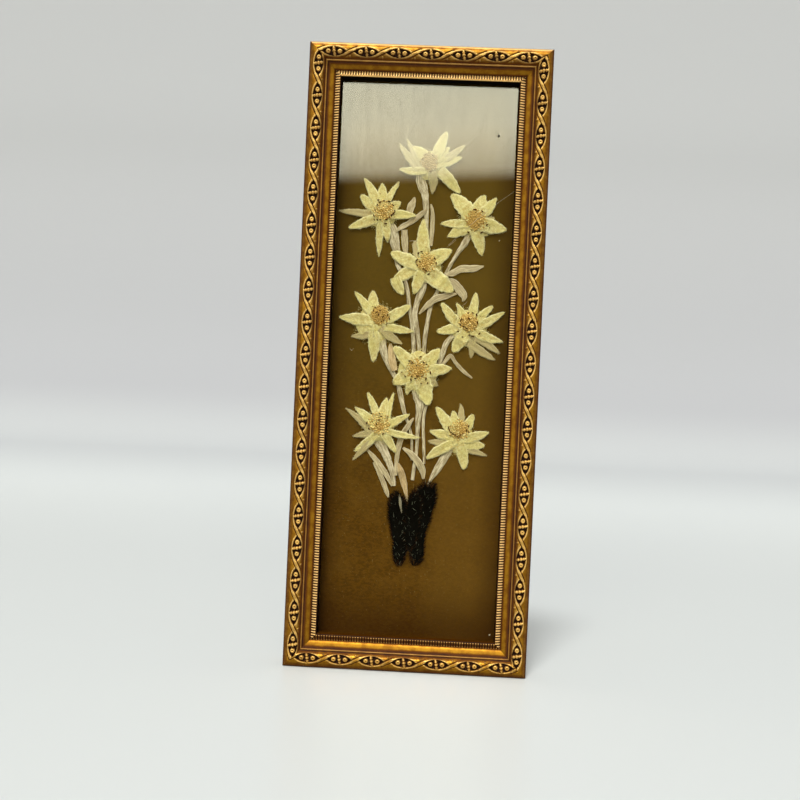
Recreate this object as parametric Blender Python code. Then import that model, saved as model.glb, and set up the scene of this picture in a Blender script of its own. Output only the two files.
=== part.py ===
"""Pressed edelweiss under glass in a narrow gilt picture frame.

The frame stands upright: X to the right, Z up, and the front faces -Y. Its lowest edge lies on
z = 0, centred in X and in depth. Sizes are written in millimetres and turned into metres by MM.
A place in the picture is (x, z); how far forward something lies is its height above the flat
back of the rails.
"""
import math

import bmesh
import bpy

MM = 0.001

# The frame
FRAME_WIDTH = 133.35
FRAME_HEIGHT = 342.9
RAIL_WIDTH = 17.675
RAIL_DEPTH = 22.0
REBATE_WIDTH = 5.975
LIP_BACK = 10.0
GAP = 0.3
MITRE_PLAY = GAP / math.sqrt(2) + 0.01

# What lies in the rebate, as heights above the back of the rails
GLASS_BACK = 7.7
GLASS_FRONT = LIP_BACK - GAP
VELVET_BACK = 2.1
VELVET_FRONT = 3.3
BACKING_BACK = 0.2
BACKING_FRONT = VELVET_BACK - GAP

# The moulding across one rail: (distance in from the outer edge, height above the back)
MOULDING = [
    (0.0, 0.0),
    (0.0, 18.4),
    (0.6, 19.6),
    (1.8, 20.0),
    (3.2, 20.8),
    (4.8, 21.1),
    (6.4, 20.7),
    (7.9, 19.6),
    (8.7, 19.2),
    (9.0, 18.4),
    (10.1, 18.2),
    (10.4, 17.2),
    (11.2, 17.0),
    (12.6, 16.6),
    (13.9, 15.6),
    (14.5, 15.1),
    (15.2, 16.0),
    (16.1, 16.4),
    (17.2, 16.0),
    (RAIL_WIDTH, 15.3),
    (RAIL_WIDTH, LIP_BACK),
    (RAIL_WIDTH - REBATE_WIDTH, LIP_BACK),
    (RAIL_WIDTH - REBATE_WIDTH, 0.0),
]

# The carved almonds along the crest of each rail
ALMOND_PITCH = 17.7
ALMOND_LENGTH = 13.3
ALMOND_WIDTH = 5.5
ALMOND_CENTRE = 4.8
ALMOND_FOOT = 19.9
ALMOND_TOP_SCALE = 0.72
ALMOND_SHOULDER = 0.36
ALMONDS_SHORT = 7
ALMONDS_LONG = 19

# The hanger on the back of the top rail
HANGER_WIDTH = 38.0
HANGER_HEIGHT = 7.0
HANGER_THICKNESS = 0.7
HANGER_TOP = FRAME_HEIGHT - 2.2
HANGER_TEETH = 9
HANGER_END = 3.0
TOOTH_DEPTH = 1.6
NAIL_SIDES = 8
NAIL_SPACING = 30.0
NAIL_DOWN = 2.6
NAIL_RADIUS = 0.6
NAIL_HEAD_RADIUS = 1.7
NAIL_HEAD_TAPER = 0.7
NAIL_HEAD_THICKNESS = 0.4
NAIL_LENGTH = 7.0
NAIL_POINT = 1.5
NAIL_POINT_TAPER = 0.3
NAIL_HOLE_RADIUS = NAIL_RADIUS + GAP
NAIL_HOLE_OVERRUN = 1.0
HANGER_PROUD = GAP + HANGER_THICKNESS + GAP + NAIL_HEAD_THICKNESS

BACK_Y = (RAIL_DEPTH + HANGER_PROUD) / 2 - HANGER_PROUD

# The pressed pieces lie in layers, as heights above the velvet
LAYER_BACK = 0.12
LAYER_STEM = 0.82
LAYER_LEAF = 1.62
LAYER_HEAD = 2.4
STRIP_THICKNESS = 0.45
STRIP_FULL_WIDTH = 1.6
STRIP_CROWN = 0.22
BRACT_THICKNESS = 0.42
BRACT_STEP = 0.03
# Along a bract from its base to its tip: (share of the length, share of the width)
BROAD_BRACT = [(0.0, 0.75), (0.36, 1.0), (0.66, 0.8), (0.88, 0.42), (1.0, 0.12)]
NARROW_BRACT = [(0.0, 0.7), (0.45, 1.0), (0.8, 0.66), (1.0, 0.15)]
NARROW_WIDTH = 4.7
BRACT_TIP_LOSS = 0.5
HEAD_CORE_SIDES = 9
HEAD_CORE_TAPER = 0.8
HEAD_CORE_THICKNESS = 0.5
DISC_SIDES = 12
DISC_BOTTOM = 3.3
DISC_TOP = 4.05
DISC_LOBES = 4
DISC_LOBE_DEPTH = 0.08
# Up a disc from its foot to its top: (share of the radius, share of the rise)
DISC_PROFILE = [(0.92, 0.0), (1.0, 0.35), (0.62, 1.0)]

# The plants below are written as the photo shows them in the plane of the frame's front. They lie
# about 12 mm behind it, so they are this much larger, and this much further from the point that
# the camera looks at squarely.
DEPTH_SCALE = 1.02
SQUARE_ON = (10.4, 154.6)

# Each head: its middle (x, z, radius), its disc (x, z, radius), and its bracts from the back to
# the front as (tip x, tip z, base x, base z, width)
HEADS = {
    "flower_1": {
        "middle": (2.0, 277.6, 6.2),
        "disc": (1.6, 279.6, 5.2),
        "bracts": [
            (20.6, 289.6, 6.0, 279.5, 4.2),
            (-15.4, 289.4, -2.0, 273.5, 4.4),
            (-11.4, 291.9, -2.5, 275.5, 3.4),
            (3.7, 262.3, 3.2, 275.0, 4.9),
            (18.9, 263.2, 7.0, 275.6, 6.6),
            (-15.0, 275.1, 0.0, 274.6, 4.6),
            (19.2, 282.9, 3.0, 278.0, 5.6),
            (10.2, 296.6, 4.5, 281.0, 6.4),
            (-8.0, 288.0, 2.0, 280.0, 6.6),
            (12.2, 288.4, 3.0, 279.0, 5.4),
        ],
    },
    "flower_2": {
        "middle": (-23.6, 250.8, 6.4),
        "disc": (-22.3, 252.0, 5.9),
        "bracts": [
            (-47.0, 251.2, -28.0, 249.6, 4.1),
            (-24.0, 227.0, -23.8, 246.0, 4.2),
            (-13.2, 257.3, -22.0, 252.6, 6.2),
            (-14.5, 268.3, -21.5, 253.5, 3.5),
            (-33.8, 269.6, -25.5, 254.0, 5.4),
            (-35.3, 260.2, -25.5, 251.5, 6.0),
            (-19.3, 234.8, -21.5, 247.5, 5.2),
            (-41.2, 241.8, -25.0, 248.0, 5.8),
            (-23.7, 267.2, -22.8, 253.0, 6.2),
            (-4.5, 249.9, -20.0, 249.8, 5.2),
        ],
    },
    "flower_3": {
        "middle": (27.6, 248.4, 6.4),
        "disc": (28.2, 249.0, 6.2),
        "bracts": [
            (38.6, 250.6, 28.0, 250.0, 4.4),
            (32.6, 229.6, 27.5, 245.0, 6.8),
            (13.4, 239.2, 26.0, 246.5, 7.2),
            (9.2, 246.3, 25.0, 246.0, 5.2),
            (35.0, 240.6, 27.0, 247.5, 4.6),
            (39.0, 261.6, 29.0, 250.0, 6.4),
            (32.4, 262.9, 28.0, 250.0, 8.2),
            (45.4, 244.2, 28.0, 248.5, 8.4),
            (14.2, 262.3, 26.0, 250.0, 9.0),
        ],
    },
    "flower_4": {
        "middle": (1.4, 223.2, 6.4),
        "disc": (2.4, 224.6, 5.8),
        "bracts": [
            (-16.2, 212.8, -3.0, 221.5, 6.6),
            (-9.6, 206.5, -14.6, 216.0, 6.2),
            (-4.6, 236.6, 0.0, 226.0, 5.6),
            (10.6, 221.6, 2.0, 222.6, 6.4),
            (-3.7, 207.1, 0.5, 220.0, 6.6),
            (17.6, 209.2, 2.5, 219.5, 9.6),
            (-17.3, 229.4, -1.5, 222.5, 7.6),
            (15.8, 232.2, 2.5, 225.0, 8.6),
            (-0.2, 248.4, 1.6, 226.0, 7.2),
        ],
    },
    "flower_5": {
        "middle": (-24.3, 190.4, 8.2),
        "disc": (-21.8, 194.8, 5.6),
        "bracts": [
            (-37.3, 182.5, -24.5, 184.5, 4.4),
            (-18.2, 199.4, -22.0, 191.0, 4.6),
            (-24.4, 168.8, -25.0, 186.5, 6.6),
            (-9.0, 179.6, -21.0, 188.0, 5.0),
            (-36.2, 207.1, -25.0, 193.0, 4.8),
            (-2.9, 186.6, -19.0, 188.5, 4.6),
            (-44.2, 193.0, -25.0, 191.5, 7.0),
            (-26.2, 208.1, -23.8, 193.0, 6.6),
            (-5.5, 200.8, -21.0, 191.5, 6.2),
        ],
    },
    "flower_6": {
        "middle": (26.9, 189.8, 7.6),
        "disc": (26.9, 193.0, 5.6),
        "bracts": [
            (42.3, 172.9, 27.0, 181.8, 4.6),
            (44.6, 176.6, 29.5, 186.0, 4.4),
            (29.1, 173.3, 28.4, 188.0, 4.4),
            (9.6, 187.2, 23.5, 190.0, 5.6),
            (39.6, 202.5, 28.5, 191.5, 4.6),
            (20.0, 203.3, 24.5, 191.5, 4.6),
            (46.3, 199.4, 29.5, 189.5, 5.0),
            (19.0, 176.4, 26.0, 188.0, 7.4),
            (46.0, 183.0, 29.0, 188.5, 5.6),
            (11.6, 203.1, 24.0, 190.0, 5.4),
            (30.2, 209.3, 27.2, 192.5, 5.4),
        ],
    },
    "flower_7": {
        "middle": (0.2, 165.2, 8.3),
        "disc": (0.2, 166.0, 6.6),
        "bracts": [
            (11.8, 157.6, 2.0, 163.0, 6.0),
            (-5.2, 151.9, -1.0, 162.5, 5.0),
            (-3.6, 174.9, -0.5, 167.0, 4.4),
            (-13.0, 157.4, -1.0, 164.0, 8.4),
            (6.9, 146.6, 2.2, 162.5, 9.4),
            (18.9, 167.4, 2.0, 164.5, 7.4),
            (11.7, 177.9, 1.5, 166.5, 7.6),
            (-13.4, 178.0, -1.0, 166.0, 7.6),
        ],
    },
    "flower_8": {
        "middle": (-19.4, 133.8, 6.4),
        "disc": (-19.4, 135.6, 6.6),
        "bracts": [
            (-33.3, 114.5, -21.5, 127.5, 3.6),
            (-38.6, 143.1, -23.0, 129.5, 4.0),
            (-12.3, 152.4, -15.8, 135.0, 3.6),
            (-33.9, 127.8, -21.0, 130.5, 3.8),
            (-3.2, 141.3, -17.0, 133.5, 4.4),
            (-32.7, 119.6, -20.0, 130.0, 4.8),
            (-9.6, 119.9, -18.0, 132.0, 5.0),
            (-26.8, 152.3, -20.0, 136.5, 4.2),
            (3.3, 128.6, -16.5, 131.6, 3.8),
            (-33.2, 143.8, -21.5, 134.0, 5.0),
            (-16.0, 149.8, -18.6, 136.0, 5.6),
        ],
    },
    "flower_9": {
        "middle": (24.2, 129.6, 6.8),
        "disc": (24.5, 134.0, 6.0),
        "bracts": [
            (7.6, 127.1, 19.0, 126.8, 3.8),
            (24.7, 148.3, 24.2, 134.0, 4.2),
            (40.3, 120.4, 25.5, 124.8, 3.8),
            (31.8, 142.8, 26.5, 132.0, 5.4),
            (7.1, 117.4, 21.5, 126.5, 5.6),
            (38.7, 125.8, 25.0, 127.0, 5.8),
            (27.9, 112.3, 25.2, 126.5, 6.2),
            (8.3, 132.6, 22.0, 129.5, 5.6),
            (40.6, 133.4, 26.5, 129.0, 5.8),
            (20.8, 144.2, 22.0, 132.0, 5.6),
            (11.2, 145.9, 21.0, 131.0, 6.0),
        ],
    },
}

# Stems and leaves: the layer, and the way each one runs as (x, z, width), with the number of
# flat lengths between two of those places
STEM_STEPS = 1
LEAF_STEPS = 2
STEMS = {
    "stem_1": (LAYER_STEM, [
        (-2.0, 276.0, 4.4), (-2.8, 270.0, 5.5), (-1.6, 266.0, 5.0), (-0.2, 262.0, 4.2),
        (0.4, 258.0, 3.4), (1.2, 250.0, 2.6), (1.4, 238.0, 2.4)]),
    "stem_2": (LAYER_STEM, [
        (-19.5, 246.0, 4.4), (-16.8, 240.5, 6.0), (-15.3, 234.0, 4.8), (-14.0, 229.0, 3.6),
        (-13.4, 223.0, 2.6), (-9.2, 215.2, 1.8), (-7.1, 208.0, 2.0), (-5.9, 200.0, 2.0),
        (-4.4, 192.5, 2.0), (-3.0, 183.0, 2.2), (-2.2, 172.0, 1.8)]),
    "stem_3": (LAYER_STEM, [
        (25.6, 243.0, 3.4), (23.0, 236.5, 3.6), (19.2, 230.6, 2.2), (15.4, 223.6, 1.8),
        (12.6, 217.0, 1.8), (8.8, 208.6, 1.8), (5.9, 201.4, 2.0), (4.4, 192.0, 2.2),
        (3.4, 183.0, 2.2), (3.0, 172.0, 1.8)]),
    "stem_4": (LAYER_LEAF, [
        (1.6, 217.5, 4.2), (0.4, 209.4, 4.2), (-1.7, 203.0, 3.0), (-2.7, 196.6, 2.8),
        (-1.7, 190.6, 2.4), (-0.4, 184.0, 2.2), (0.4, 178.0, 1.9), (0.8, 172.0, 1.7)]),
    "stem_5": (LAYER_BACK, [
        (-20.4, 184.0, 4.0), (-19.4, 177.0, 4.2), (-17.2, 170.0, 2.8), (-13.6, 164.0, 2.4),
        (-10.4, 158.4, 2.2), (-8.4, 151.0, 2.8), (-6.2, 142.6, 2.0), (-3.6, 136.0, 1.5),
        (-1.4, 128.0, 1.4), (-0.8, 116.0, 1.3)]),
    "stem_6": (LAYER_STEM, [
        (19.0, 185.6, 2.6), (15.2, 181.0, 3.0), (12.9, 173.0, 2.4), (11.2, 167.0, 2.2),
        (8.4, 157.0, 2.0), (5.8, 147.0, 1.8), (4.6, 139.0, 1.7), (5.0, 130.0, 1.6),
        (5.7, 121.0, 1.5), (6.1, 114.5, 1.2)]),
    "stem_7": (LAYER_STEM, [
        (-0.8, 159.0, 4.0), (0.6, 152.0, 5.0), (2.2, 146.6, 4.2), (1.7, 139.0, 2.9),
        (1.7, 131.0, 2.0), (1.6, 122.0, 1.7), (0.7, 113.0, 1.9), (0.1, 105.2, 1.9)]),
    "stem_8": (LAYER_STEM, [
        (-20.4, 128.0, 4.6), (-18.8, 125.0, 5.8), (-16.4, 121.0, 5.0), (-14.0, 116.0, 3.8),
        (-11.9, 111.0, 3.0), (-10.2, 105.0, 2.2), (-9.8, 101.6, 1.8)]),
    "stem_9": (LAYER_LEAF, [
        (20.0, 123.6, 4.2), (16.8, 118.0, 4.6), (13.3, 111.6, 3.6), (10.6, 107.0, 2.2),
        (8.6, 102.8, 0.9)]),
}

LEAVES = {
    "leaf_a": (LAYER_LEAF, [
        (13.4, 218.2, 1.4), (17.2, 219.6, 3.4), (21.6, 222.0, 3.8), (27.6, 222.4, 4.0),
        (33.8, 224.0, 0.8)]),
    "leaf_b": (LAYER_STEM, [
        (14.5, 216.2, 1.4), (17.6, 214.4, 4.0), (21.0, 210.8, 4.4), (23.6, 207.2, 3.6),
        (23.2, 204.2, 0.8)]),
    "leaf_c": (LAYER_LEAF, [
        (-0.4, 196.4, 0.8), (3.2, 200.6, 2.6), (8.0, 204.8, 3.6), (13.4, 206.7, 3.4),
        (19.8, 208.4, 0.9)]),
    "leaf_d": (LAYER_STEM, [
        (-8.4, 250.6, 3.0), (-7.6, 254.6, 4.2), (-6.3, 258.0, 2.8), (-5.8, 260.2, 0.8)]),
    "leaf_e": (LAYER_LEAF, [
        (1.0, 253.4, 1.4), (-2.4, 250.4, 3.0), (-7.6, 246.4, 2.8), (-12.6, 243.2, 2.4),
        (-15.4, 240.6, 0.9)]),
    "leaf_f": (LAYER_STEM, [
        (-10.5, 242.2, 3.0), (-10.2, 237.0, 3.6), (-9.6, 232.0, 3.0), (-8.8, 227.4, 1.6)]),
    "leaf_g": (LAYER_LEAF, [
        (12.6, 167.6, 0.9), (15.4, 171.6, 2.0), (17.9, 174.3, 2.0), (20.8, 170.6, 1.9),
        (25.2, 166.2, 1.9), (30.2, 162.6, 0.9)]),
    "leaf_h": (LAYER_STEM, [
        (-15.4, 179.6, 1.2), (-15.0, 176.0, 3.4), (-13.9, 170.0, 4.4), (-12.4, 164.8, 3.2)]),
    "leaf_i": (LAYER_LEAF, [
        (-0.8, 139.4, 0.8), (-3.6, 135.0, 2.6), (-6.6, 129.6, 3.0), (-8.4, 122.6, 2.8),
        (-9.2, 114.0, 2.0), (-9.2, 107.4, 1.8)]),
    "leaf_j": (LAYER_LEAF, [
        (-6.0, 122.6, 1.2), (-2.4, 120.4, 2.8), (1.8, 116.4, 3.8), (5.2, 111.2, 3.6),
        (6.0, 106.2, 1.2)]),
    "leaf_k": (LAYER_HEAD, [
        (-8.2, 114.2, 1.0), (-6.4, 109.6, 3.6), (-4.6, 103.6, 3.4), (-3.2, 98.2, 2.0),
        (-2.2, 93.4, 0.7)]),
    "leaf_l": (LAYER_BACK, [
        (-25.6, 120.8, 1.0), (-21.6, 116.6, 2.6), (-16.8, 110.8, 3.0), (-13.0, 105.4, 2.4),
        (-10.8, 101.6, 1.2)]),
    "leaf_m": (LAYER_LEAF, [
        (-21.4, 114.2, 1.6), (-18.8, 109.4, 2.4), (-16.5, 104.6, 2.5), (-14.3, 99.4, 2.6),
        (-12.6, 95.2, 1.0)]),
    "leaf_n": (LAYER_HEAD, [
        (-6.6, 96.8, 1.2), (-6.0, 92.6, 1.4), (-5.0, 87.0, 0.6)]),
    "leaf_p": (LAYER_LEAF, [
        (3.4, 256.8, 0.9), (4.6, 251.0, 2.0), (4.6, 243.0, 2.4), (4.2, 234.0, 2.0)]),
}

# The black moss at the foot of the bouquet: bottom and top above the velvet, and each sprig's
# outline, whose edge is toothed by its needles
MOSS = {
    "moss_left": (0.15, 1.25, [
        (-8.6, 99.8), (-11.5, 93.6), (-12.6, 88.8), (-12.2, 83.1), (-10.4, 77.3), (-8.6, 70.3),
        (-8.2, 63.8), (-4.8, 58.2), (-1.6, 64.0), (-1.2, 75.0), (-1.0, 86.0), (-3.4, 95.6)]),
    "moss_right": (0.15, 1.25, [
        (13.0, 104.4), (13.9, 96.4), (11.9, 87.6), (9.9, 80.8), (7.9, 73.5), (6.8, 66.6),
        (3.4, 58.9), (0.2, 65.0), (-0.4, 75.0), (-0.1, 86.0), (1.4, 96.6), (5.6, 102.6)]),
    "moss_middle": (1.58, 2.05, [
        (2.2, 104.0), (-1.6, 96.0), (-2.0, 84.0), (-2.6, 74.0), (-1.2, 66.0), (1.6, 63.0),
        (3.4, 72.0), (4.8, 84.0), (6.4, 95.0)]),
}
MOSS_TOOTH = 0.7
MOSS_TOOTH_PITCH = 4.4

# Colour, roughness and metallic value of each finish
FINISHES = {
    "gilt": ((0.60, 0.36, 0.09), 0.34, 0.9),
    "glass": ((0.9, 0.92, 0.9), 0.03, 0.0),
    "velvet": ((0.13, 0.09, 0.03), 0.95, 0.0),
    "board": ((0.36, 0.24, 0.13), 0.9, 0.0),
    "brass": ((0.62, 0.48, 0.2), 0.35, 1.0),
    "bract": ((0.80, 0.74, 0.46), 0.9, 0.0),
    "disc": ((0.55, 0.38, 0.16), 0.95, 0.0),
    "stem": ((0.55, 0.47, 0.30), 0.85, 0.0),
    "leaf": ((0.50, 0.42, 0.27), 0.85, 0.0),
    "moss": ((0.012, 0.013, 0.010), 0.9, 0.0),
}


def clear_scene():
    for scene_object in list(bpy.data.objects):
        bpy.data.objects.remove(scene_object, do_unlink=True)


def finish_material(node, finish):
    colour, roughness, metallic = FINISHES[finish]
    material = bpy.data.materials.new(node + "_" + finish)
    material.use_nodes = True
    shader = material.node_tree.nodes["Principled BSDF"]
    shader.inputs["Base Color"].default_value = (*colour, 1.0)
    shader.inputs["Roughness"].default_value = roughness
    shader.inputs["Metallic"].default_value = metallic
    return material


def place(x, z, height):
    """A point in the scene for a place in the picture and a height above the rails' back."""
    return (x * MM, (BACK_Y - height) * MM, z * MM)


def add_object(node, mesh_builder, finish):
    mesh = bpy.data.meshes.new(node)
    bmesh.ops.recalc_face_normals(mesh_builder, faces=mesh_builder.faces)
    mesh_builder.to_mesh(mesh)
    mesh_builder.free()
    made = bpy.data.objects.new(node, mesh)
    bpy.context.collection.objects.link(made)
    made.data.materials.append(finish_material(node, finish))
    return made


def ring_solid(builder, rings):
    """Joins rings of equally many points, one after the other, and closes both ends."""
    rows = [[builder.verts.new(point) for point in ring] for ring in rings]
    for row, following in zip(rows, rows[1:]):
        count = len(row)
        for i in range(count):
            j = (i + 1) % count
            builder.faces.new((row[i], row[j], following[j], following[i]))
    builder.faces.new(rows[0])
    builder.faces.new(rows[-1])


def boolean(target, tool, operation):
    """Adds a live Boolean modifier whose tool stays in the scene as a hidden wire guide."""
    tool.hide_render = True
    tool.display_type = "WIRE"
    modifier = target.modifiers.new(tool.name, "BOOLEAN")
    modifier.operation = operation
    modifier.solver = "EXACT"
    modifier.object = tool


def slab(node, half_width, bottom, top, back, front, finish):
    """A flat upright pane, board or sheet."""
    corners = [(-half_width, bottom), (half_width, bottom), (half_width, top), (-half_width, top)]
    builder = bmesh.new()
    ring_solid(builder, [[place(x, z, h) for x, z in corners] for h in (back, front)])
    return add_object(node, builder, finish)


def rail_point(side, along, inward, height):
    """A point on a rail: along its length from its middle, in from its outer edge, and forward."""
    if side == "top":
        return place(along, FRAME_HEIGHT - inward, height)
    if side == "bottom":
        return place(along, inward, height)
    if side == "left":
        return place(-FRAME_WIDTH / 2 + inward, FRAME_HEIGHT / 2 + along, height)
    return place(FRAME_WIDTH / 2 - inward, FRAME_HEIGHT / 2 + along, height)


def almond_ring(side, centre, height, scale):
    """The pointed oval outline of one carved almond, as six points."""
    half_length = ALMOND_LENGTH / 2 * scale
    half_width = ALMOND_WIDTH / 2 * scale
    shoulder = half_length * ALMOND_SHOULDER
    outline = [
        (-half_length, 0), (-shoulder, -half_width), (shoulder, -half_width),
        (half_length, 0), (shoulder, half_width), (-shoulder, half_width),
    ]
    return [rail_point(side, centre + a, ALMOND_CENTRE + b, height) for a, b in outline]


def make_rail(side, length, almond_count):
    """A mitred length of the moulding with its row of carved almonds on the crest."""
    node = "rail_" + side
    builder = bmesh.new()
    ring_solid(builder, [
        [rail_point(side, end * (length / 2 - u - MITRE_PLAY), u, h) for u, h in MOULDING]
        for end in (-1, 1)
    ])
    rail = add_object(node, builder, "gilt")
    carving = bmesh.new()
    for i in range(almond_count):
        centre = (i - (almond_count - 1) / 2) * ALMOND_PITCH
        ring_solid(carving, [
            almond_ring(side, centre, ALMOND_FOOT, 1.0),
            almond_ring(side, centre, RAIL_DEPTH, ALMOND_TOP_SCALE),
        ])
    boolean(rail, add_object(node + "_carving_guide", carving, "gilt"), "UNION")
    return rail


def circle(x, z, radius, height, sides):
    """A ring of evenly spaced points round (x, z)."""
    angles = [math.tau * i / sides for i in range(sides)]
    return [place(x + radius * math.cos(a), z + radius * math.sin(a), height) for a in angles]


def round_bar(name, x, z, rings, finish):
    """A turned bar that stands out from the back: rings are (radius, height)."""
    builder = bmesh.new()
    ring_solid(builder, [circle(x, z, radius, height, NAIL_SIDES) for radius, height in rings])
    return add_object(name, builder, finish)


def make_hanger(rail_top):
    """The toothed plate on the back of the top rail, held by two round-headed nails."""
    half = HANGER_WIDTH / 2
    bottom = HANGER_TOP - HANGER_HEIGHT
    pitch = (HANGER_WIDTH - 2 * HANGER_END) / HANGER_TEETH
    outline = [(-half, HANGER_TOP), (half, HANGER_TOP), (half, bottom)]
    for i in range(HANGER_TEETH):
        right = half - HANGER_END - i * pitch
        outline += [(right, bottom), (right - pitch / 2, bottom + TOOTH_DEPTH)]
    outline += [(-half + HANGER_END, bottom), (-half, bottom)]
    plate_front = -GAP
    plate_back = plate_front - HANGER_THICKNESS
    builder = bmesh.new()
    ring_solid(builder, [[place(x, z, h) for x, z in outline] for h in (plate_front, plate_back)])
    plate = add_object("hanger_plate", builder, "brass")
    nail_z = HANGER_TOP - NAIL_DOWN
    head_front = plate_back - GAP
    for side, sign in (("left", -1), ("right", 1)):
        x = sign * NAIL_SPACING / 2
        round_bar("hanger_nail_" + side, x, nail_z, [
            (NAIL_RADIUS * NAIL_POINT_TAPER, NAIL_LENGTH),
            (NAIL_RADIUS, NAIL_LENGTH - NAIL_POINT),
            (NAIL_RADIUS, head_front),
            (NAIL_HEAD_RADIUS, head_front),
            (NAIL_HEAD_RADIUS * NAIL_HEAD_TAPER, head_front - NAIL_HEAD_THICKNESS),
        ], "brass")
        hole = round_bar("nail_hole_guide_" + side, x, nail_z, [
            (NAIL_HOLE_RADIUS, NAIL_LENGTH + GAP),
            (NAIL_HOLE_RADIUS, -HANGER_PROUD - NAIL_HOLE_OVERRUN),
        ], "brass")
        boolean(plate, hole, "DIFFERENCE")
        boolean(rail_top, hole, "DIFFERENCE")


def at_depth(numbers):
    """Moves measured (x, z) pairs, and scales the size that may follow them, to the plants' depth."""
    pairs_end = len(numbers) // 2 * 2
    moved = [
        SQUARE_ON[i % 2] + (number - SQUARE_ON[i % 2]) * DEPTH_SCALE
        for i, number in enumerate(numbers[:pairs_end])
    ]
    return tuple(moved + [number * DEPTH_SCALE for number in numbers[pairs_end:]])


def curve_value(a, b, c, d, t):
    """The Catmull-Rom curve between b and c at t, with a before them and d after them."""
    square = (2 * a - 5 * b + 4 * c - d) * t**2
    cube = (3 * b - a - 3 * c + d) * t**3
    return 0.5 * (2 * b + (c - a) * t + square + cube)


def smooth_run(points, steps):
    """A smooth curve through (x, z, width) points, with steps pieces between each pair."""
    run = []
    for i in range(len(points) - 1):
        before = points[max(i - 1, 0)]
        start = points[i]
        end = points[i + 1]
        after = points[min(i + 2, len(points) - 1)]
        for k in range(steps):
            run.append(tuple(
                curve_value(a, b, c, d, k / steps) for a, b, c, d in zip(before, start, end, after)
            ))
    return run + [points[-1]]


def strip_rings(run, bottom, thickness):
    """Cross-sections of a flat, crowned strip: thin edges and a broad middle."""
    rings = []
    for i, (x, z, width) in enumerate(run):
        x1, z1, _ = run[max(i - 1, 0)]
        x2, z2, _ = run[min(i + 1, len(run) - 1)]
        length = math.hypot(x2 - x1, z2 - z1)
        across = ((z2 - z1) / length, -(x2 - x1) / length)
        rise = thickness * min(1.0, width / STRIP_FULL_WIDTH)
        ring = [(-0.5, 0.0), (0.5, 0.0), (STRIP_CROWN, rise), (-STRIP_CROWN, rise)]
        rings.append([
            place(x + across[0] * width * side, z + across[1] * width * side, bottom + up)
            for side, up in ring
        ])
    return rings


def make_strip(node, layer, points, steps, finish):
    builder = bmesh.new()
    ring_solid(builder, strip_rings(smooth_run(points, steps), VELVET_FRONT + layer, STRIP_THICKNESS))
    return add_object(node, builder, finish)


def bract_rings(bract, bottom):
    """Cross-sections of one woolly bract: it widens from its base, then narrows to a blunt tip."""
    tip_x, tip_z, base_x, base_z, width = bract
    dx, dz = tip_x - base_x, tip_z - base_z
    length = math.hypot(dx, dz)
    across = (dz / length, -dx / length)
    rings = []
    for t, share in NARROW_BRACT if width < NARROW_WIDTH else BROAD_BRACT:
        x, z = base_x + dx * t, base_z + dz * t
        half = width * share / 2
        rings.append([
            place(x - across[0] * half, z - across[1] * half, bottom),
            place(x + across[0] * half, z + across[1] * half, bottom),
            place(x, z, bottom + BRACT_THICKNESS * (1.0 - BRACT_TIP_LOSS * t)),
        ])
    return rings


def make_head(node, middle, bracts):
    """A star of bracts grown together round the middle of the head."""
    x, z, radius = middle
    bottom = VELVET_FRONT + LAYER_HEAD
    core = bmesh.new()
    ring_solid(core, [
        circle(x, z, radius, bottom - BRACT_STEP, HEAD_CORE_SIDES),
        circle(x, z, radius * HEAD_CORE_TAPER, bottom + HEAD_CORE_THICKNESS, HEAD_CORE_SIDES),
    ])
    head = add_object(node, core, "bract")
    for i, bract in enumerate(bracts):
        builder = bmesh.new()
        ring_solid(builder, bract_rings(bract, bottom + i * BRACT_STEP))
        boolean(head, add_object(f"{node}_bract_guide_{i}", builder, "bract"), "UNION")
    return head


def make_disc(node, x, z, radius):
    """The low cluster of florets in the middle of a head, with a lobed edge."""
    rings = []
    for share, rise in DISC_PROFILE:
        height = VELVET_FRONT + DISC_BOTTOM + (DISC_TOP - DISC_BOTTOM) * rise
        ring = []
        for i in range(DISC_SIDES):
            angle = math.tau * i / DISC_SIDES
            lobe = radius * share * (1.0 + DISC_LOBE_DEPTH * math.cos(DISC_LOBES * angle))
            ring.append(place(x + lobe * math.cos(angle), z + lobe * math.sin(angle), height))
        rings.append(ring)
    builder = bmesh.new()
    ring_solid(builder, rings)
    return add_object(node, builder, "disc")


def toothed(outline):
    """An outline with short teeth for the needles, which stand out from its edge."""
    centre_x = sum(x for x, _ in outline) / len(outline)
    centre_z = sum(z for _, z in outline) / len(outline)
    points = []
    for (x1, z1), (x2, z2) in zip(outline, outline[1:] + outline[:1]):
        steps = 2 * max(1, round(math.hypot(x2 - x1, z2 - z1) / MOSS_TOOTH_PITCH))
        for k in range(steps):
            x = x1 + (x2 - x1) * k / steps
            z = z1 + (z2 - z1) * k / steps
            away = math.hypot(x - centre_x, z - centre_z)
            pull = MOSS_TOOTH * (k % 2) / away
            points.append((x + (centre_x - x) * pull, z + (centre_z - z) * pull))
    return points


def make_moss(node, bottom, top, outline):
    builder = bmesh.new()
    ring_solid(builder, [
        [place(x, z, VELVET_FRONT + h) for x, z in toothed(outline)] for h in (bottom, top)
    ])
    return add_object(node, builder, "moss")


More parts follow.
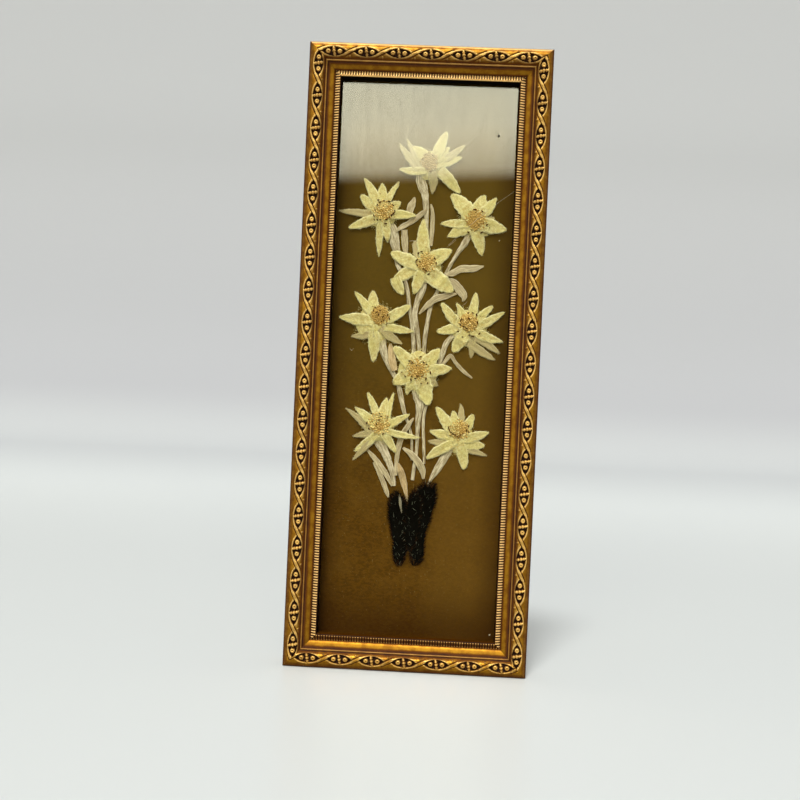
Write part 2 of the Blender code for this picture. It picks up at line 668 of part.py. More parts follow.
def main():
    clear_scene()
    rails = {
        "top": make_rail("top", FRAME_WIDTH, ALMONDS_SHORT),
        "bottom": make_rail("bottom", FRAME_WIDTH, ALMONDS_SHORT),
        "left": make_rail("left", FRAME_HEIGHT, ALMONDS_LONG),
        "right": make_rail("right", FRAME_HEIGHT, ALMONDS_LONG),
    }
    make_hanger(rails["top"])
    rebate = RAIL_WIDTH - REBATE_WIDTH + GAP
    pane = (FRAME_WIDTH / 2 - rebate, rebate, FRAME_HEIGHT - rebate)
    slab("glass_pane", *pane, GLASS_BACK, GLASS_FRONT, "glass")
    slab("velvet_mount", *pane, VELVET_BACK, VELVET_FRONT, "velvet")
    slab("backing_board", *pane, BACKING_BACK, BACKING_FRONT, "board")
    for node, head in HEADS.items():
        make_head(node, at_depth(head["middle"]), [at_depth(bract) for bract in head["bracts"]])
        make_disc(node.replace("flower", "disc"), *at_depth(head["disc"]))
    for node, (layer, points) in STEMS.items():
        make_strip(node, layer, [at_depth(point) for point in points], STEM_STEPS, "stem")
    for node, (layer, points) in LEAVES.items():
        make_strip(node, layer, [at_depth(point) for point in points], LEAF_STEPS, "leaf")
    for node, (bottom, top, outline) in MOSS.items():
        make_moss(node, bottom, top, [at_depth(point) for point in outline])


main()
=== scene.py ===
# Pressed edelweiss under glass in a narrow gilt frame: the finish of every surface.
# Sizes are in millimetres. A place in the picture is (x, z), and a height is how far a point
# stands in front of the rails' flat back.
import math

import bpy
import numpy as np
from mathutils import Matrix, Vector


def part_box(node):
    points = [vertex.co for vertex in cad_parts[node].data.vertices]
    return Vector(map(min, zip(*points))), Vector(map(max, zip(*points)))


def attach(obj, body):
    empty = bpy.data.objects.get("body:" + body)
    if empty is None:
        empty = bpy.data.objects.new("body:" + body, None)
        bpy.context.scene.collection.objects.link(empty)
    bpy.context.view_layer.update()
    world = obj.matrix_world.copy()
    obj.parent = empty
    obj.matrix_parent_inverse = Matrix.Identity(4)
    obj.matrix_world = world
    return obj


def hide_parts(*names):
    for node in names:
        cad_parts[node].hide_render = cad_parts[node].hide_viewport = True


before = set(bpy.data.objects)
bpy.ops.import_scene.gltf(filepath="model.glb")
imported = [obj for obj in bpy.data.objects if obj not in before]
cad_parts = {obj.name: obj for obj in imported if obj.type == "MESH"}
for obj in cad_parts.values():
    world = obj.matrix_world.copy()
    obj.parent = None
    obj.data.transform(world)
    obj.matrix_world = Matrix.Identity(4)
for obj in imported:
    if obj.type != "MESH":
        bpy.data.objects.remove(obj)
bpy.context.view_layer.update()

mm = 0.001
railLow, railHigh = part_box("rail_left")
backY = railHigh[1] / mm
railWidth = (railHigh[0] - railLow[0]) / mm
frameWidth = -2 * railLow[0] / mm
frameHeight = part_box("rail_top")[1][2] / mm
crestHeight = backY - railLow[1] / mm
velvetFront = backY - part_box("velvet_mount")[0][1] / mm
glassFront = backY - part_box("glass_pane")[0][1] / mm


# Shapes are worked out on grids of points.

def place(x, z, height):
    # millimetres in the picture to metres in the scene
    return np.stack(np.broadcast_arrays(x * mm, (backY - height) * mm, z * mm), axis=-1)


depth = {
    "centre": (10.4, 154.6),      # the place that the camera faces squarely
    "scale": 1.02,
}


def atDepth(numbers):
    # Each row holds (x, z) pairs and maybe a size, as they look in the plane of the frame's front.
    # The plants lie deeper, so they are larger and farther from the centre by the scale.
    rows = np.array(numbers, float)
    pairs = rows.shape[-1] // 2 * 2
    centre = np.tile(depth["centre"], pairs // 2)
    rows[..., :pairs] = centre + (rows[..., :pairs] - centre) * depth["scale"]
    rows[..., pairs:] *= depth["scale"]
    return rows


def smoothStep(t):
    # 3 t^2 - 2 t^3, held at 0 below 0 and at 1 above 1
    t = np.clip(t, 0.0, 1.0)
    return t * t * (3 - 2 * t)


def strip(t, low, high, rise, fall):
    # 1 from low to high, with a soft start and a soft end
    return smoothStep((t - low) / rise) * smoothStep((high - t) / fall)


def bump(distance, width):
    # exp(-(distance / width)^2)
    return np.exp(-(distance / width) ** 2)


def blur(values, reach, axis):
    # the mean over a window of 2 reach + 1 places along one axis, with the ends held
    pad = [(reach, reach) if a == axis else (0, 0) for a in range(values.ndim)]
    padded = np.pad(values, pad, mode="edge")
    count, window = values.shape[axis], 2 * reach + 1
    return sum(np.take(padded, range(k, k + count), axis) for k in range(window)) / window


def highest(values, reach):
    # the largest value within reach places along the first axis
    padded = np.pad(values, (reach, reach), mode="edge")
    return np.max([padded[k:k + len(values)] for k in range(2 * reach + 1)], axis=0)


def waves(x, z, size, seed, count=7):
    # a smooth random field of about -1..1: a sum of sines in random directions
    dice = np.random.default_rng(seed)
    turn = dice.uniform(0, 2 * np.pi, count)
    rate = 2 * np.pi / (size * dice.uniform(0.6, 1.7, count))
    shift = dice.uniform(0, 2 * np.pi, count)
    field = 0
    for a, r, s in zip(turn, rate, shift):
        field = field + np.sin((x * np.cos(a) + z * np.sin(a)) * r + s)
    return field / math.sqrt(count)


class Shell:
    # one closed surface: points in metres, four-sided faces, other faces, and values at its points
    def __init__(self, points, quads, caps=(), **values):
        self.points = points.reshape(-1, 3)
        self.quads = np.asarray(quads, int).reshape(-1, 4)
        self.caps = [np.asarray(cap, int) for cap in caps]
        self.values = {k: np.broadcast_to(v, points.shape[:-1]).reshape(-1) for k, v in values.items()}

    def facedOut(self):
        # a closed surface that faces out has a positive volume: sum of a . (b x c) over its triangles
        corners = [self.quads[:, [0, 1, 2]], self.quads[:, [0, 2, 3]]]
        for cap in self.caps:
            ends = np.stack([cap[1:-1], cap[2:]], axis=1)
            corners.append(np.insert(ends, 0, cap[0], axis=1))
        centred = self.points - self.points.mean(0)
        a, b, c = (centred[np.concatenate(corners)[:, k]] for k in range(3))
        if np.einsum("ij,ij->", a, np.cross(b, c)) < 0:
            self.quads = self.quads[:, ::-1]
            self.caps = [cap[::-1] for cap in self.caps]
        return self


def loft(rings, **values):
    # rings of equally many points, one row each, joined in turn and closed at both ends
    rows, around = rings.shape[:2]
    index = np.arange(rows * around).reshape(rows, around)
    turned = np.roll(index, -1, axis=1)
    quads = np.stack([index[:-1], turned[:-1], turned[1:], index[1:]], axis=-1)
    return Shell(rings, quads, [index[0], index[-1][::-1]], **values).facedOut()


def manyLofts(rings, **values):
    # many small lofts of one build in one shell: rings is (loft, row, point round it, place)
    lofts, rows, around = rings.shape[:3]
    one = loft(rings[0])
    starts = rows * around * np.arange(lofts)
    values = {key: np.repeat(value, rows * around) for key, value in values.items()}
    caps = [start + cap for start in starts for cap in one.caps]
    return Shell(rings.reshape(-1, 3), starts[:, None, None] + one.quads, caps, **values)


def needles(x, z, height, heading, length, width, rise, bend, **values):
    # each needle is a three-sided tapered spine of four rings along a bent line
    t = np.array([0.0, 0.35, 0.75, 1.0])[None, :, None]
    a = np.array([0.5, 2.6, 4.7])[None, None, :]
    x, z, height, heading, length, width, rise, bend = (
        g[:, None, None] for g in (x, z, height, heading, length, width, rise, bend))
    angle = heading + bend * t
    size = width * (1 - 0.85 * t ** 1.5) / 2
    px = x + np.cos(angle) * length * t - np.sin(angle) * size * np.cos(a)
    pz = z + np.sin(angle) * length * t + np.cos(angle) * size * np.cos(a)
    ph = height + rise * t * (1 - 0.4 * t) + size * np.sin(a)
    return manyLofts(place(px, pz, ph), **values)


def makePiece(name, shells, finish, slot=None, stands=()):
    # one object from its shells, which rides on the frame and may stand for CAD nodes
    starts = np.cumsum([0] + [len(s.points) for s in shells])
    points = np.concatenate([s.points for s in shells])
    quads = np.concatenate([s.quads + k for s, k in zip(shells, starts)])
    caps = [cap + k for s, k in zip(shells, starts) for cap in s.caps]
    corners = np.concatenate([quads.ravel(), *caps])
    sizes = np.concatenate([np.full(len(quads), 4), [len(cap) for cap in caps]]).astype(int)
    mesh = bpy.data.meshes.new(name)
    mesh.vertices.add(len(points))
    mesh.vertices.foreach_set("co", points.ravel())
    mesh.loops.add(len(corners))
    mesh.loops.foreach_set("vertex_index", corners)
    mesh.polygons.add(len(sizes))
    mesh.polygons.foreach_set("loop_start", np.cumsum(sizes) - sizes)
    for value in shells[0].values:
        layer = mesh.attributes.new(value, "FLOAT", "POINT")
        layer.data.foreach_set("value", np.concatenate([s.values[value] for s in shells]))
    mesh.update(calc_edges=True)
    mesh.shade_smooth()
    piece = bpy.data.objects.new(name, mesh)
    bpy.context.scene.collection.objects.link(piece)
    mesh.materials.append(finish)
    if slot:
        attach(piece, "root")
    if stands:
        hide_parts(*stands)
    return piece


# Materials are made of nodes that read Object coordinates or values at the points.

class Signal:
    # a node's output, so that maths on it is written as a Python expression
    def __init__(self, paint, socket):
        self.paint, self.socket = paint, socket

    def maths(self, operation, first, second):
        return self.paint.node("ShaderNodeMath", {"operation": operation}, {0: first, 1: second})

    def __add__(self, other):
        return self.maths("ADD", self, other)

    def __radd__(self, other):
        return self.maths("ADD", other, self)

    def __sub__(self, other):
        return self.maths("SUBTRACT", self, other)

    def __rsub__(self, other):
        return self.maths("SUBTRACT", other, self)

    def __mul__(self, other):
        return self.maths("MULTIPLY", self, other)

    def __rmul__(self, other):
        return self.maths("MULTIPLY", other, self)


class Paint:
    # the nodes of one material or of the world, each made by node()
    def __init__(self, name, owner=None):
        self.owner = owner or bpy.data.materials.new(name)
        self.owner.use_nodes = True
        self.tree = self.owner.node_tree
        self.tree.nodes.clear()

    def node(self, kind, settings=None, sockets=None, out=0):
        made = self.tree.nodes.new(kind)
        for key, value in (settings or {}).items():
            setattr(made, key, value)
        for key, value in (sockets or {}).items():
            if isinstance(value, Signal):
                self.tree.links.new(value.socket, made.inputs[key])
            else:
                made.inputs[key].default_value = value
        return Signal(self, made.outputs[out])

    def value(self, name):
        return self.node("ShaderNodeAttribute", {"attribute_name": name}, out=2)

    def spot(self, scale=(1.0, 1.0, 1.0)):
        # Object coordinates in millimetres, stretched by scale
        place = self.node("ShaderNodeTexCoord", out=3)
        return self.node("ShaderNodeMapping", {}, {0: place, 3: tuple(k / mm for k in scale)})

    def parts(self, vector):
        node = self.node("ShaderNodeSeparateXYZ", {}, {0: vector}).socket.node
        return [Signal(self, socket) for socket in node.outputs]

    def noise(self, size, detail=2.0, rough=0.5, where=None, scale=(1.0, 1.0, 1.0)):
        # 0..1 noise whose lumps are about size millimetres across
        where = where or self.spot(scale)
        sockets = {"Vector": where, "Scale": 1 / size, "Detail": detail, "Roughness": rough}
        return self.node("ShaderNodeTexNoise", {}, sockets)

    def step(self, signal, low, high, toLow=0.0, toHigh=1.0):
        # a smooth step from toLow to toHigh as the signal goes from low to high
        sockets = {0: signal, 1: low, 2: high, 3: toLow, 4: toHigh}
        return self.node("ShaderNodeMapRange", {"interpolation_type": "SMOOTHSTEP"}, sockets)

    def mix(self, factor, first, second):
        first, second = (c if isinstance(c, Signal) else (*c, 1.0) for c in (first, second))
        return self.node("ShaderNodeMix", {"data_type": "RGBA"}, {0: factor, 6: first, 7: second}, out=2)

    def bump(self, height, distance, strength=1.0):
        # height is 0..1 and distance is its depth in millimetres
        sockets = {"Strength": strength, "Distance": distance * mm, "Height": height}
        return self.node("ShaderNodeBump", {}, sockets)

    def surface(self, **sockets):
        names = {k.replace("_", " "): v for k, v in sockets.items()}
        colour = names["Base Color"]
        if not isinstance(colour, Signal):
            names["Base Color"] = (*colour, 1.0)
        return self.node("ShaderNodeBsdfPrincipled", {}, names)

    def blend(self, factor, first, second):
        return self.node("ShaderNodeMixShader", {}, {0: factor, 1: first, 2: second})

    def done(self, shader, kind="ShaderNodeOutputMaterial"):
        output = self.tree.nodes.new(kind)
        self.tree.links.new(shader.socket, output.inputs["Surface"])
        return self.owner


view = {
    "lens": 50.0,
    "place": (0.0129, -0.6160, 0.1537),
    "turn": (89.541, -2.601, 2.048),      # degrees about X, Y and Z
    "floorFront": -2.2,
    "floorBack": 1.9,
    "sweepRadius": 0.9,
    "wallTop": 3.2,
    "halfWidth": 3.0,
}


def makeCamera():
    camera = bpy.data.objects.new("camera", bpy.data.cameras.new("camera"))
    camera.data.lens = view["lens"]
    camera.location = view["place"]
    camera.rotation_euler = [math.radians(a) for a in view["turn"]]
    bpy.context.scene.collection.objects.link(camera)
    bpy.context.scene.camera = camera


def makeStage():
    # the floor runs back, turns up along a quarter circle and ends in the wall
    turn = np.linspace(0, np.pi / 2, 24)
    y = np.concatenate([[view["floorFront"]], view["floorBack"] + view["sweepRadius"] * np.sin(turn)])
    z = np.concatenate([[0.0], view["sweepRadius"] * (1 - np.cos(turn))])
    y, z = np.append(y, y[-1])[:, None], np.append(z, view["wallTop"])[:, None]
    x = np.array([-view["halfWidth"], view["halfWidth"]])
    points = np.stack(np.broadcast_arrays(x, y, z), axis=-1)
    index = np.arange(2 * len(y)).reshape(-1, 2)
    quads = np.stack([index[:-1, 0], index[:-1, 1], index[1:, 1], index[1:, 0]], axis=-1)
    paint = Paint("stage")
    cloudy = paint.noise(900.0, 2.0)
    _, back, rise = paint.parts(paint.spot())
    # the colour makes up for the sun, which falls squarely on the foot of the sweep
    colour = paint.mix(cloudy, (0.63, 0.66, 0.65), (0.655, 0.683, 0.674))
    colour = paint.mix(paint.step(back, 400.0, 2000.0), colour, (0.475, 0.492, 0.50))
    colour = paint.mix(paint.step(rise, 0.0, 150.0), colour, (0.388, 0.395, 0.415))
    colour = paint.mix(paint.step(rise, 300.0, 1100.0), colour, (0.51, 0.52, 0.545))
    smooth = paint.surface(Base_Color=colour, Roughness=0.32, Specular_IOR_Level=0.35)
    dull = paint.surface(Base_Color=colour, Roughness=1.0, Specular_IOR_Level=0.0)
    matt = paint.step(back, 300.0, 1200.0) + paint.step(back, -250.0, -450.0)
    finish = paint.done(paint.blend(matt, smooth, dull))
    floor = makePiece("floor", [Shell(points, quads).facedOut()], finish)
    # the glass and the gilding mirror a dark room low down
    floor.visible_glossy = False
    floor.visible_transmission = False


def makeSun(name, elevation, turn, spread, strength, colour):
    # a soft far light: turn is how far it stands to the left of the front
    lamp = bpy.data.lights.new(name, "SUN")
    lamp.energy = strength
    lamp.angle = math.radians(spread)
    lamp.color = colour
    light = bpy.data.objects.new(name, lamp)
    light.rotation_euler = (math.radians(90 - elevation), 0.0, math.radians(-turn))
    bpy.context.scene.collection.objects.link(light)


sky = {
    # where the bright patch starts and ends, as sines of the elevation and of the turn to the right
    "firmEdge": (0.184, 0.200),
    "softEdge": (0.184, 0.240),
    "slope": 0.06,
    "upperEdge": (0.36, 0.50),
    "leftEdge": (-0.55, -0.35),
    "rightEdge": (0.25, 0.40),
    "frontEdge": (-0.3, -0.6),
    "darkFront": (-0.95, -0.70),
    "dim": (0.012, 0.010, 0.005),
    "room": (0.34, 0.34, 0.34),
    "bright": (6.55, 6.3, 4.7),
    "mirrored": (3.55, 3.4, 2.5),     # the bright patch as glass and gilding mirror it
    "streaks": (170.0, 30.0),     # lumps of the patch to one sine, across and up
    "seen": (0.62, 0.63, 0.62),
}


def makeSky():
    # dim all round, and bright in a soft-edged patch in front and above, which the glass mirrors
    paint = Paint("room", bpy.data.worlds.new("room"))
    across, along, up = paint.parts(paint.node("ShaderNodeTexCoord", out=0))
    level = up - across * sky["slope"]
    edge = paint.step(level, *sky["firmEdge"]) * 0.5 + paint.step(level, *sky["softEdge"]) * 0.5
    patch = edge * paint.step(up, *sky["upperEdge"], 1.0, 0.0) * paint.step(along, *sky["frontEdge"])
    patch = patch * paint.step(across, *sky["leftEdge"])
    patch = patch * paint.step(across, *sky["rightEdge"], 1.0, 0.0)
    light = paint.mix(paint.step(along, *sky["darkFront"]), sky["dim"], sky["room"])
    perAcross, perUp = sky["streaks"]
    where = paint.node("ShaderNodeCombineXYZ", {}, {0: across * perAcross, 1: up * perUp})
    streak = paint.noise(1.0, 3.0, 0.6, where)
    mirrored = paint.node("ShaderNodeLightPath", out=3)
    bright = paint.mix(mirrored, sky["bright"], sky["mirrored"])
    light = paint.mix(patch * paint.step(streak, 0.2, 0.8, 0.88, 1.06), light, bright)
    seen = paint.node("ShaderNodeLightPath", out=0)
    colour = paint.mix(seen, light, sky["seen"])
    shader = paint.node("ShaderNodeBackground", {}, {0: colour, 1: 1.0})
    bpy.context.scene.world = paint.done(shader, "ShaderNodeOutputWorld")


suns = {
    # elevation, turn and spread in degrees, then watts to the square metre and colour
    "key": (64.0, 9.0, 13.0, 2.9, (1.0, 1.0, 1.0)),
}

makeCamera()
makeStage()
makeSky()
for name, sun in suns.items():
    makeSun(name, *sun)
bpy.context.scene.view_settings.view_transform = "Standard"
print("camera, stage and lights made")


moulding = {
    # the front, as (in from the outer edge, height)
    "front": [
        (0.0, 18.4), (0.3, 19.1), (0.8, 19.75), (1.5, 20.15), (2.2, 20.45), (3.3, 20.8),
        (5.3, 21.0), (7.0, 20.7), (7.7, 20.2), (8.2, 19.5), (8.6, 18.8), (8.95, 18.2),
        (9.15, 18.0), (9.4, 18.05), (9.65, 18.3), (9.9, 18.15), (10.15, 17.4), (10.5, 16.95),
        (11.0, 16.8), (11.8, 16.5), (12.7, 16.1), (13.5, 15.75), (13.95, 15.5),
        (14.15, 14.95), (14.3, 14.9), (14.5, 15.15), (15.2, 15.6), (16.0, 16.0), (16.7, 16.35),
        (17.0, 16.4), (17.25, 16.1), (17.45, 15.7), (17.675, 15.0),
    ],
    "columns": [(0.0, 0.5), (2.0, 0.25), (8.5, 0.3), (11.2, 0.7), (14.0, 0.34)],   # from, spacing
    "lipBack": 10.0,
    "rebateWidth": 5.975,
    "mitrePlay": 0.05,
    "ribPitch": 1.44,
    "rowsPerRib": 6,
    "ribDepth": 0.8,
    "ribFrom": 14.2,
    "ribTo": 17.3,
    # how much dark patina lies, with painted shade where the lip turns in at the sight edge, and how far
    # the gilding is rubbed, partly a painted highlight on the fillet and the rib tops, at each distance
    # from the edge
    "soil": [
        (0.0, 0.6), (1.2, 0.5), (2.2, 0.45), (2.8, 0.3), (7.2, 0.25), (7.8, 0.45), (8.4, 0.55), (8.9, 0.35),
        (9.3, 0.3), (9.55, 0.15), (9.75, 0.15), (9.95, 0.6), (10.3, 0.9), (10.8, 0.75), (11.4, 0.5),
        (12.1, 0.25), (13.4, 0.3), (13.9, 0.45), (14.15, 0.95), (14.4, 0.3), (14.8, 0.0), (16.9, 0.0),
        (17.15, 0.5), (17.35, 1.0), (17.675, 1.0),
    ],
    "rubbed": [
        (0.0, 0.0), (9.4, 0.0), (9.55, 0.5), (9.75, 0.5), (9.95, 0.0), (14.4, 0.0), (14.8, 1.0),
        (16.9, 1.0), (17.2, 0.0),
    ],
    # how much of the light of a raised edge shows
    "polish": [
        (0.0, 0.4), (2.2, 0.4), (2.7, 1.0), (8.0, 1.0), (8.5, 0.3), (14.3, 0.3), (14.8, 1.0),
        (17.675, 1.0),
    ],
    # strips of painted shade and of painted highlight on two of the rails: from, to, and how softly each
    # end comes
    "bottomShade": (14.7, 17.2, 0.4, 0.3),
    "topShade": (4.8, 8.2, 0.8, 0.4),
    "topBeads": (14.7, 16.6, 0.3, 0.3),
    "topRim": (16.5, 17.6, 0.3, 0.15),
}

carving = {
    "pitch": 17.7,
    "middle": 5.4,
    "halfWidth": 3.25,
    "swing": 2.8,
    # heights above the plain moulding
    "floor": -1.7,
    "ridge": 0.35,
    "band": 0.5,
    "bandHalf": 0.9,
    # lobes: along, across, half length, half width, rise above the floor and depth of the dimple.
    # Two are round buds, and five make a lumpy bar between them.
    "lobes": [
        (3.2, 0.0, 1.5, 1.4, 2.3, 0.9), (-3.2, 0.0, 1.5, 1.4, 2.3, 0.9),
        (0.0, 0.0, 1.1, 1.0, 2.76, 0.0), (0.3, 1.45, 0.95, 0.8, 2.5, 0.0),
        (-0.2, -1.45, 0.95, 0.8, 2.5, 0.0), (0.5, 2.3, 0.9, 0.7, 2.1, 0.0),
        (-0.4, -2.3, 0.9, 0.7, 2.1, 0.0),
    ],
    "bead": (2.55, 0.5, 0.6),     # beside each crossing: across, half width and rise
}


def carvedRelief(s, u):
    # Two lines twist round each other along v = +-swing cos(pi s / pitch). Between two crossings
    # they edge an almond-shaped hollow, in which stand lobes: half ellipsoids, some with a dimple.
    # At a crossing each line widens to a flat striped band.
    c = carving
    turn = np.pi * s / c["pitch"]
    v = u - c["middle"]
    square = 1 / np.sqrt(1 + (c["swing"] * np.pi / c["pitch"] * np.sin(turn)) ** 2)
    inside = (c["swing"] * np.abs(np.cos(turn)) - np.abs(v)) * square
    relief = c["floor"] * smoothStep((inside - 0.15) / 0.5)
    line = bump(inside + 0.1, 0.35)
    relief = np.maximum(relief, c["ridge"] * line + relief * (1 - line))
    along = s - c["pitch"] * np.round(s / c["pitch"])
    for ps, pv, length, width, rise, dimple in c["lobes"]:
        q = ((along - ps) / length) ** 2 + ((v - pv) / width) ** 2
        lobe = c["floor"] + rise * np.sqrt(np.clip(1 - q, 0, 1)) - dimple * np.exp(-q / 0.12)
        relief = np.maximum(relief, lobe)
    aside, size, rise = c["bead"]
    q = ((np.abs(along) - c["pitch"] / 2) / size) ** 2 + ((v - aside) / size) ** 2
    relief = relief + rise * np.sqrt(np.clip(1 - q, 0, 1))
    near = smoothStep((np.abs(np.sin(turn)) - 0.72) / 0.2)
    for under in (True, False):
        side = np.where((np.sin(turn) > 0) ^ under, 1, -1)
        d = (v - side * c["swing"] * np.cos(turn)) * square
        body = smoothStep((c["bandHalf"] * near - np.abs(d)) / 0.3)
        top = c["band"] - 0.35 * under - 0.16 * (1 - np.cos(9 * d)) / 2
        relief = relief - 0.45 * near * bump(np.abs(d) - c["bandHalf"] - 0.1, 0.25) * (1 - under)
        relief = relief * (1 - body) + top * body
    return relief


def tableAt(table, u):
    # the value of one of the moulding's tables at u
    return np.interp(u, *np.array(moulding[table]).T)


def railHeight(s, u):
    # the plain profile, with the carving let into it and the lip cut into ribs
    plain = tableAt("front", u)
    carved = smoothStep((carving["halfWidth"] - np.abs(u - carving["middle"])) / 0.3)
    relief = carvedRelief(s, u)
    height = np.minimum(plain + carved * relief, crestHeight)
    x = 2 * np.abs(s / moulding["ribPitch"] - np.round(s / moulding["ribPitch"]))
    groove = smoothStep((x - 0.4) / 0.45)
    onLip = strip(u, moulding["ribFrom"], moulding["ribTo"], 0.5, 0.3)
    soil = np.maximum(tableAt("soil", u), carved * smoothStep((-0.35 - relief) / 0.85))
    soil = np.maximum(soil, onLip * smoothStep((x - 0.45) / 0.3))
    return height - moulding["ribDepth"] * groove * onLip, soil, tableAt("rubbed", u)


def railShell(side, length):
    # a grid: rows along the rail, several to a rib, and columns across its front and round its back.
    # A row past the mitre is held at the mitre, and the points that fall together there are merged.
    m = moulding
    spans = m["columns"] + [(railWidth, 0)]
    runs = [np.arange(a, b, step) for (a, step), (b, _) in zip(spans, spans[1:])]
    u = np.concatenate(runs + [[railWidth]])
    rebate, lipBack = railWidth - m["rebateWidth"], m["lipBack"]
    rear = np.array([(railWidth, lipBack), (rebate, lipBack), (rebate, 0.0), (0.0, 0.0), (0.0, 9.0)])
    spacing = m["ribPitch"] / m["rowsPerRib"]
    count = math.ceil(length / 2 / spacing)
    s = spacing * np.arange(-count, count + 1)[:, None]
    across = np.concatenate([u, rear[:, 0]])[None, :]
    end = length / 2 - across - m["mitrePlay"]
    s = np.clip(s, -end, end)
    front, soil, rubbed = railHeight(s[:, :len(u)], across[:, :len(u)])
    mean = blur(blur(front, 4, 0), 3, 1)
    # raised edges lighter: partly rubbed gilding, partly a painted highlight
    edge = np.clip((front - mean) / 0.4, 0, 1) * tableAt("polish", u)
    soil = np.maximum(soil, np.clip((mean - front) / 0.3, 0, 0.9))
    # the bottom rail: painted shade on the lip's outer slope and on the outer bead, which face down, with
    # the rubbed gilding dimmed there; less patina near 14.1 mm as a painted highlight where the cove faces
    # the light; the edges' painted highlight halved outside 8.6 mm
    if side == "bottom":
        paintedShade = strip(u, *m["bottomShade"]) + smoothStep((1.8 - u) / 0.5)
        soil = np.maximum(soil * (1 - 0.3 * bump(u - 14.1, 0.6)), 0.58 * paintedShade)
        rubbed = rubbed * (1 - paintedShade)
        edge = edge * (1 - 0.5 * smoothStep((8.6 - u) / 0.4))
    if side == "top":
        # the top rail: painted shade over the carving's inner part and the slope under it, which face down
        soil = np.maximum(soil, 0.4 * strip(u, *m["topShade"]))
        # painted highlight: its outer corner, its inner rim, its fillet and its beads face the light from
        # above and are painted bright
        bright = smoothStep((1.6 - u) / 0.6) * 0.7 + strip(u, *m["topRim"])
        bright = bright + 0.6 * bump(u - 9.3, 0.3) + 0.4 * strip(u, *m["topBeads"])
        soil, rubbed = soil * (1 - bright), np.maximum(rubbed, bright)
    back = np.broadcast_to(rear[:, 1], (len(s), len(rear)))
    height = np.concatenate([front, back], axis=1)
    edge, soil, rubbed = (np.concatenate([np.broadcast_to(g, front.shape), np.zeros(back.shape)], axis=1)
                          for g in (edge, soil, rubbed))
    bare = np.concatenate([np.zeros(len(u)), [0, 1, 1, 1, 0]])
    # the lip's inner side, painted shade: 1 is black where it lies in shade, and 0.6 is brown on the bottom
    # rail, whose lip faces the light
    lip = np.concatenate([np.zeros(len(u) - 1), [1, 1, 0, 0, 0, 0]])
    lip = lip * (0.6 if side == "bottom" else 1.0)
    across = np.broadcast_to(across, s.shape)
    # the four rails are one moulding turned by quarter turns
    if side == "top":
        points = place(s, frameHeight - across, height)
    elif side == "bottom":
        points = place(-s, across, height)
    elif side == "left":
        points = place(across - frameWidth / 2, frameHeight / 2 + s, height)
    else:
        points = place(frameWidth / 2 - across, frameHeight / 2 - s, height)
    return loft(points, edge=edge, soil=soil, rubbed=rubbed, bare=bare, lip=lip)


def mergeDoubles(piece, distance):
    weld = piece.modifiers.new("weld", "WELD")
    weld.merge_threshold = distance
    bpy.context.view_layer.objects.active = piece
    with bpy.context.temp_override(object=piece):
        bpy.ops.object.modifier_apply(modifier=weld.name)


def giltFinish():
    # worn gold leaf over red-brown ground: bright on the ridges, partly rubbed gilding and partly a painted
    # highlight, brown where the patina gathers and nearly black deep down, with painted shade on the slopes
    # that face away from the light
    paint = Paint("gilt")
    edge, soil, rubbed, bare, lip = (paint.value(v) for v in ("edge", "soil", "rubbed", "bare", "lip"))
    patch = paint.noise(5.0, 4.0, 0.6)
    grain = paint.noise(0.35, 3.0, 0.6)
    dirtAndShade = soil + (patch - 0.5) * 0.4 + (grain - 0.5) * 0.25
    gold = paint.mix(paint.step(patch, 0.35, 0.68), (0.52, 0.248, 0.015), (0.375, 0.160, 0.009))
    # painted highlight on the raised edges and the rubbed places, partly real wear; patina with painted
    # shade then darkens the gold
    gold = paint.mix(paint.step(edge, 0.1, 0.7), gold, (1.0, 0.63, 0.18))
    gold = paint.mix(rubbed, gold, (0.97, 0.62, 0.24))
    colour = paint.mix(paint.step(dirtAndShade, 0.15, 0.65), gold, (0.13, 0.038, 0.003))
    colour = paint.mix(paint.step(dirtAndShade, 0.65, 1.0), colour, (0.022, 0.005, 0.001))
    streak = paint.noise(1.0, 3.0, 0.6, scale=(0.15, 1.0, 1.0))
    wood = paint.mix(streak, (0.30, 0.19, 0.10), (0.20, 0.12, 0.06))
    plain = paint.step(bare, 0.4, 0.6)
    colour = paint.mix(plain, colour, wood)
    metal = paint.step(dirtAndShade, 0.45, 1.0, 0.75, 0.0) * (1 - plain) * (1 - rubbed * 0.4) * (1 - edge * 0.4)
    rough = paint.step(dirtAndShade, 0.1, 0.9, 0.38, 0.8) + (grain - 0.5) * 0.2 + plain * 0.3
    gilt = paint.surface(Base_Color=colour, Metallic=metal, Roughness=rough, Specular_IOR_Level=0.25,
                         Normal=paint.bump(grain, 0.04, 0.5))
    # painted shade: the lip's inner side is dull and black, and brown along the bottom, where the light
    # falls on it
    inner = paint.mix(paint.step(lip, 0.6, 0.9), (0.040, 0.013, 0.001), (0.004, 0.003, 0.002))
    dull = paint.surface(Base_Color=inner, Roughness=1.0, Specular_IOR_Level=0.0)
    return paint.done(paint.blend(paint.step(lip, 0.2, 0.5), gilt, dull))


def makeRails():
    finish = giltFinish()
    lengths = {"top": frameWidth, "bottom": frameWidth, "left": frameHeight, "right": frameHeight}
    for side, length in lengths.items():
        rail = makePiece("moulding_" + side, [railShell(side, length)], finish, "gilt", ["rail_" + side])
        mergeDoubles(rail, 1e-6)
        rail.data.set_sharp_from_angle(angle=math.radians(60))


makeRails()
print("rails made")


# The pressed plants lie on the velvet and on each other. The pile is the height of what lies there.
pile = {
    "left": -50.0,
    "bottom": 16.0,
    "cell": 0.25,
    "heights": np.full((1250, 400), velvetFront),
}


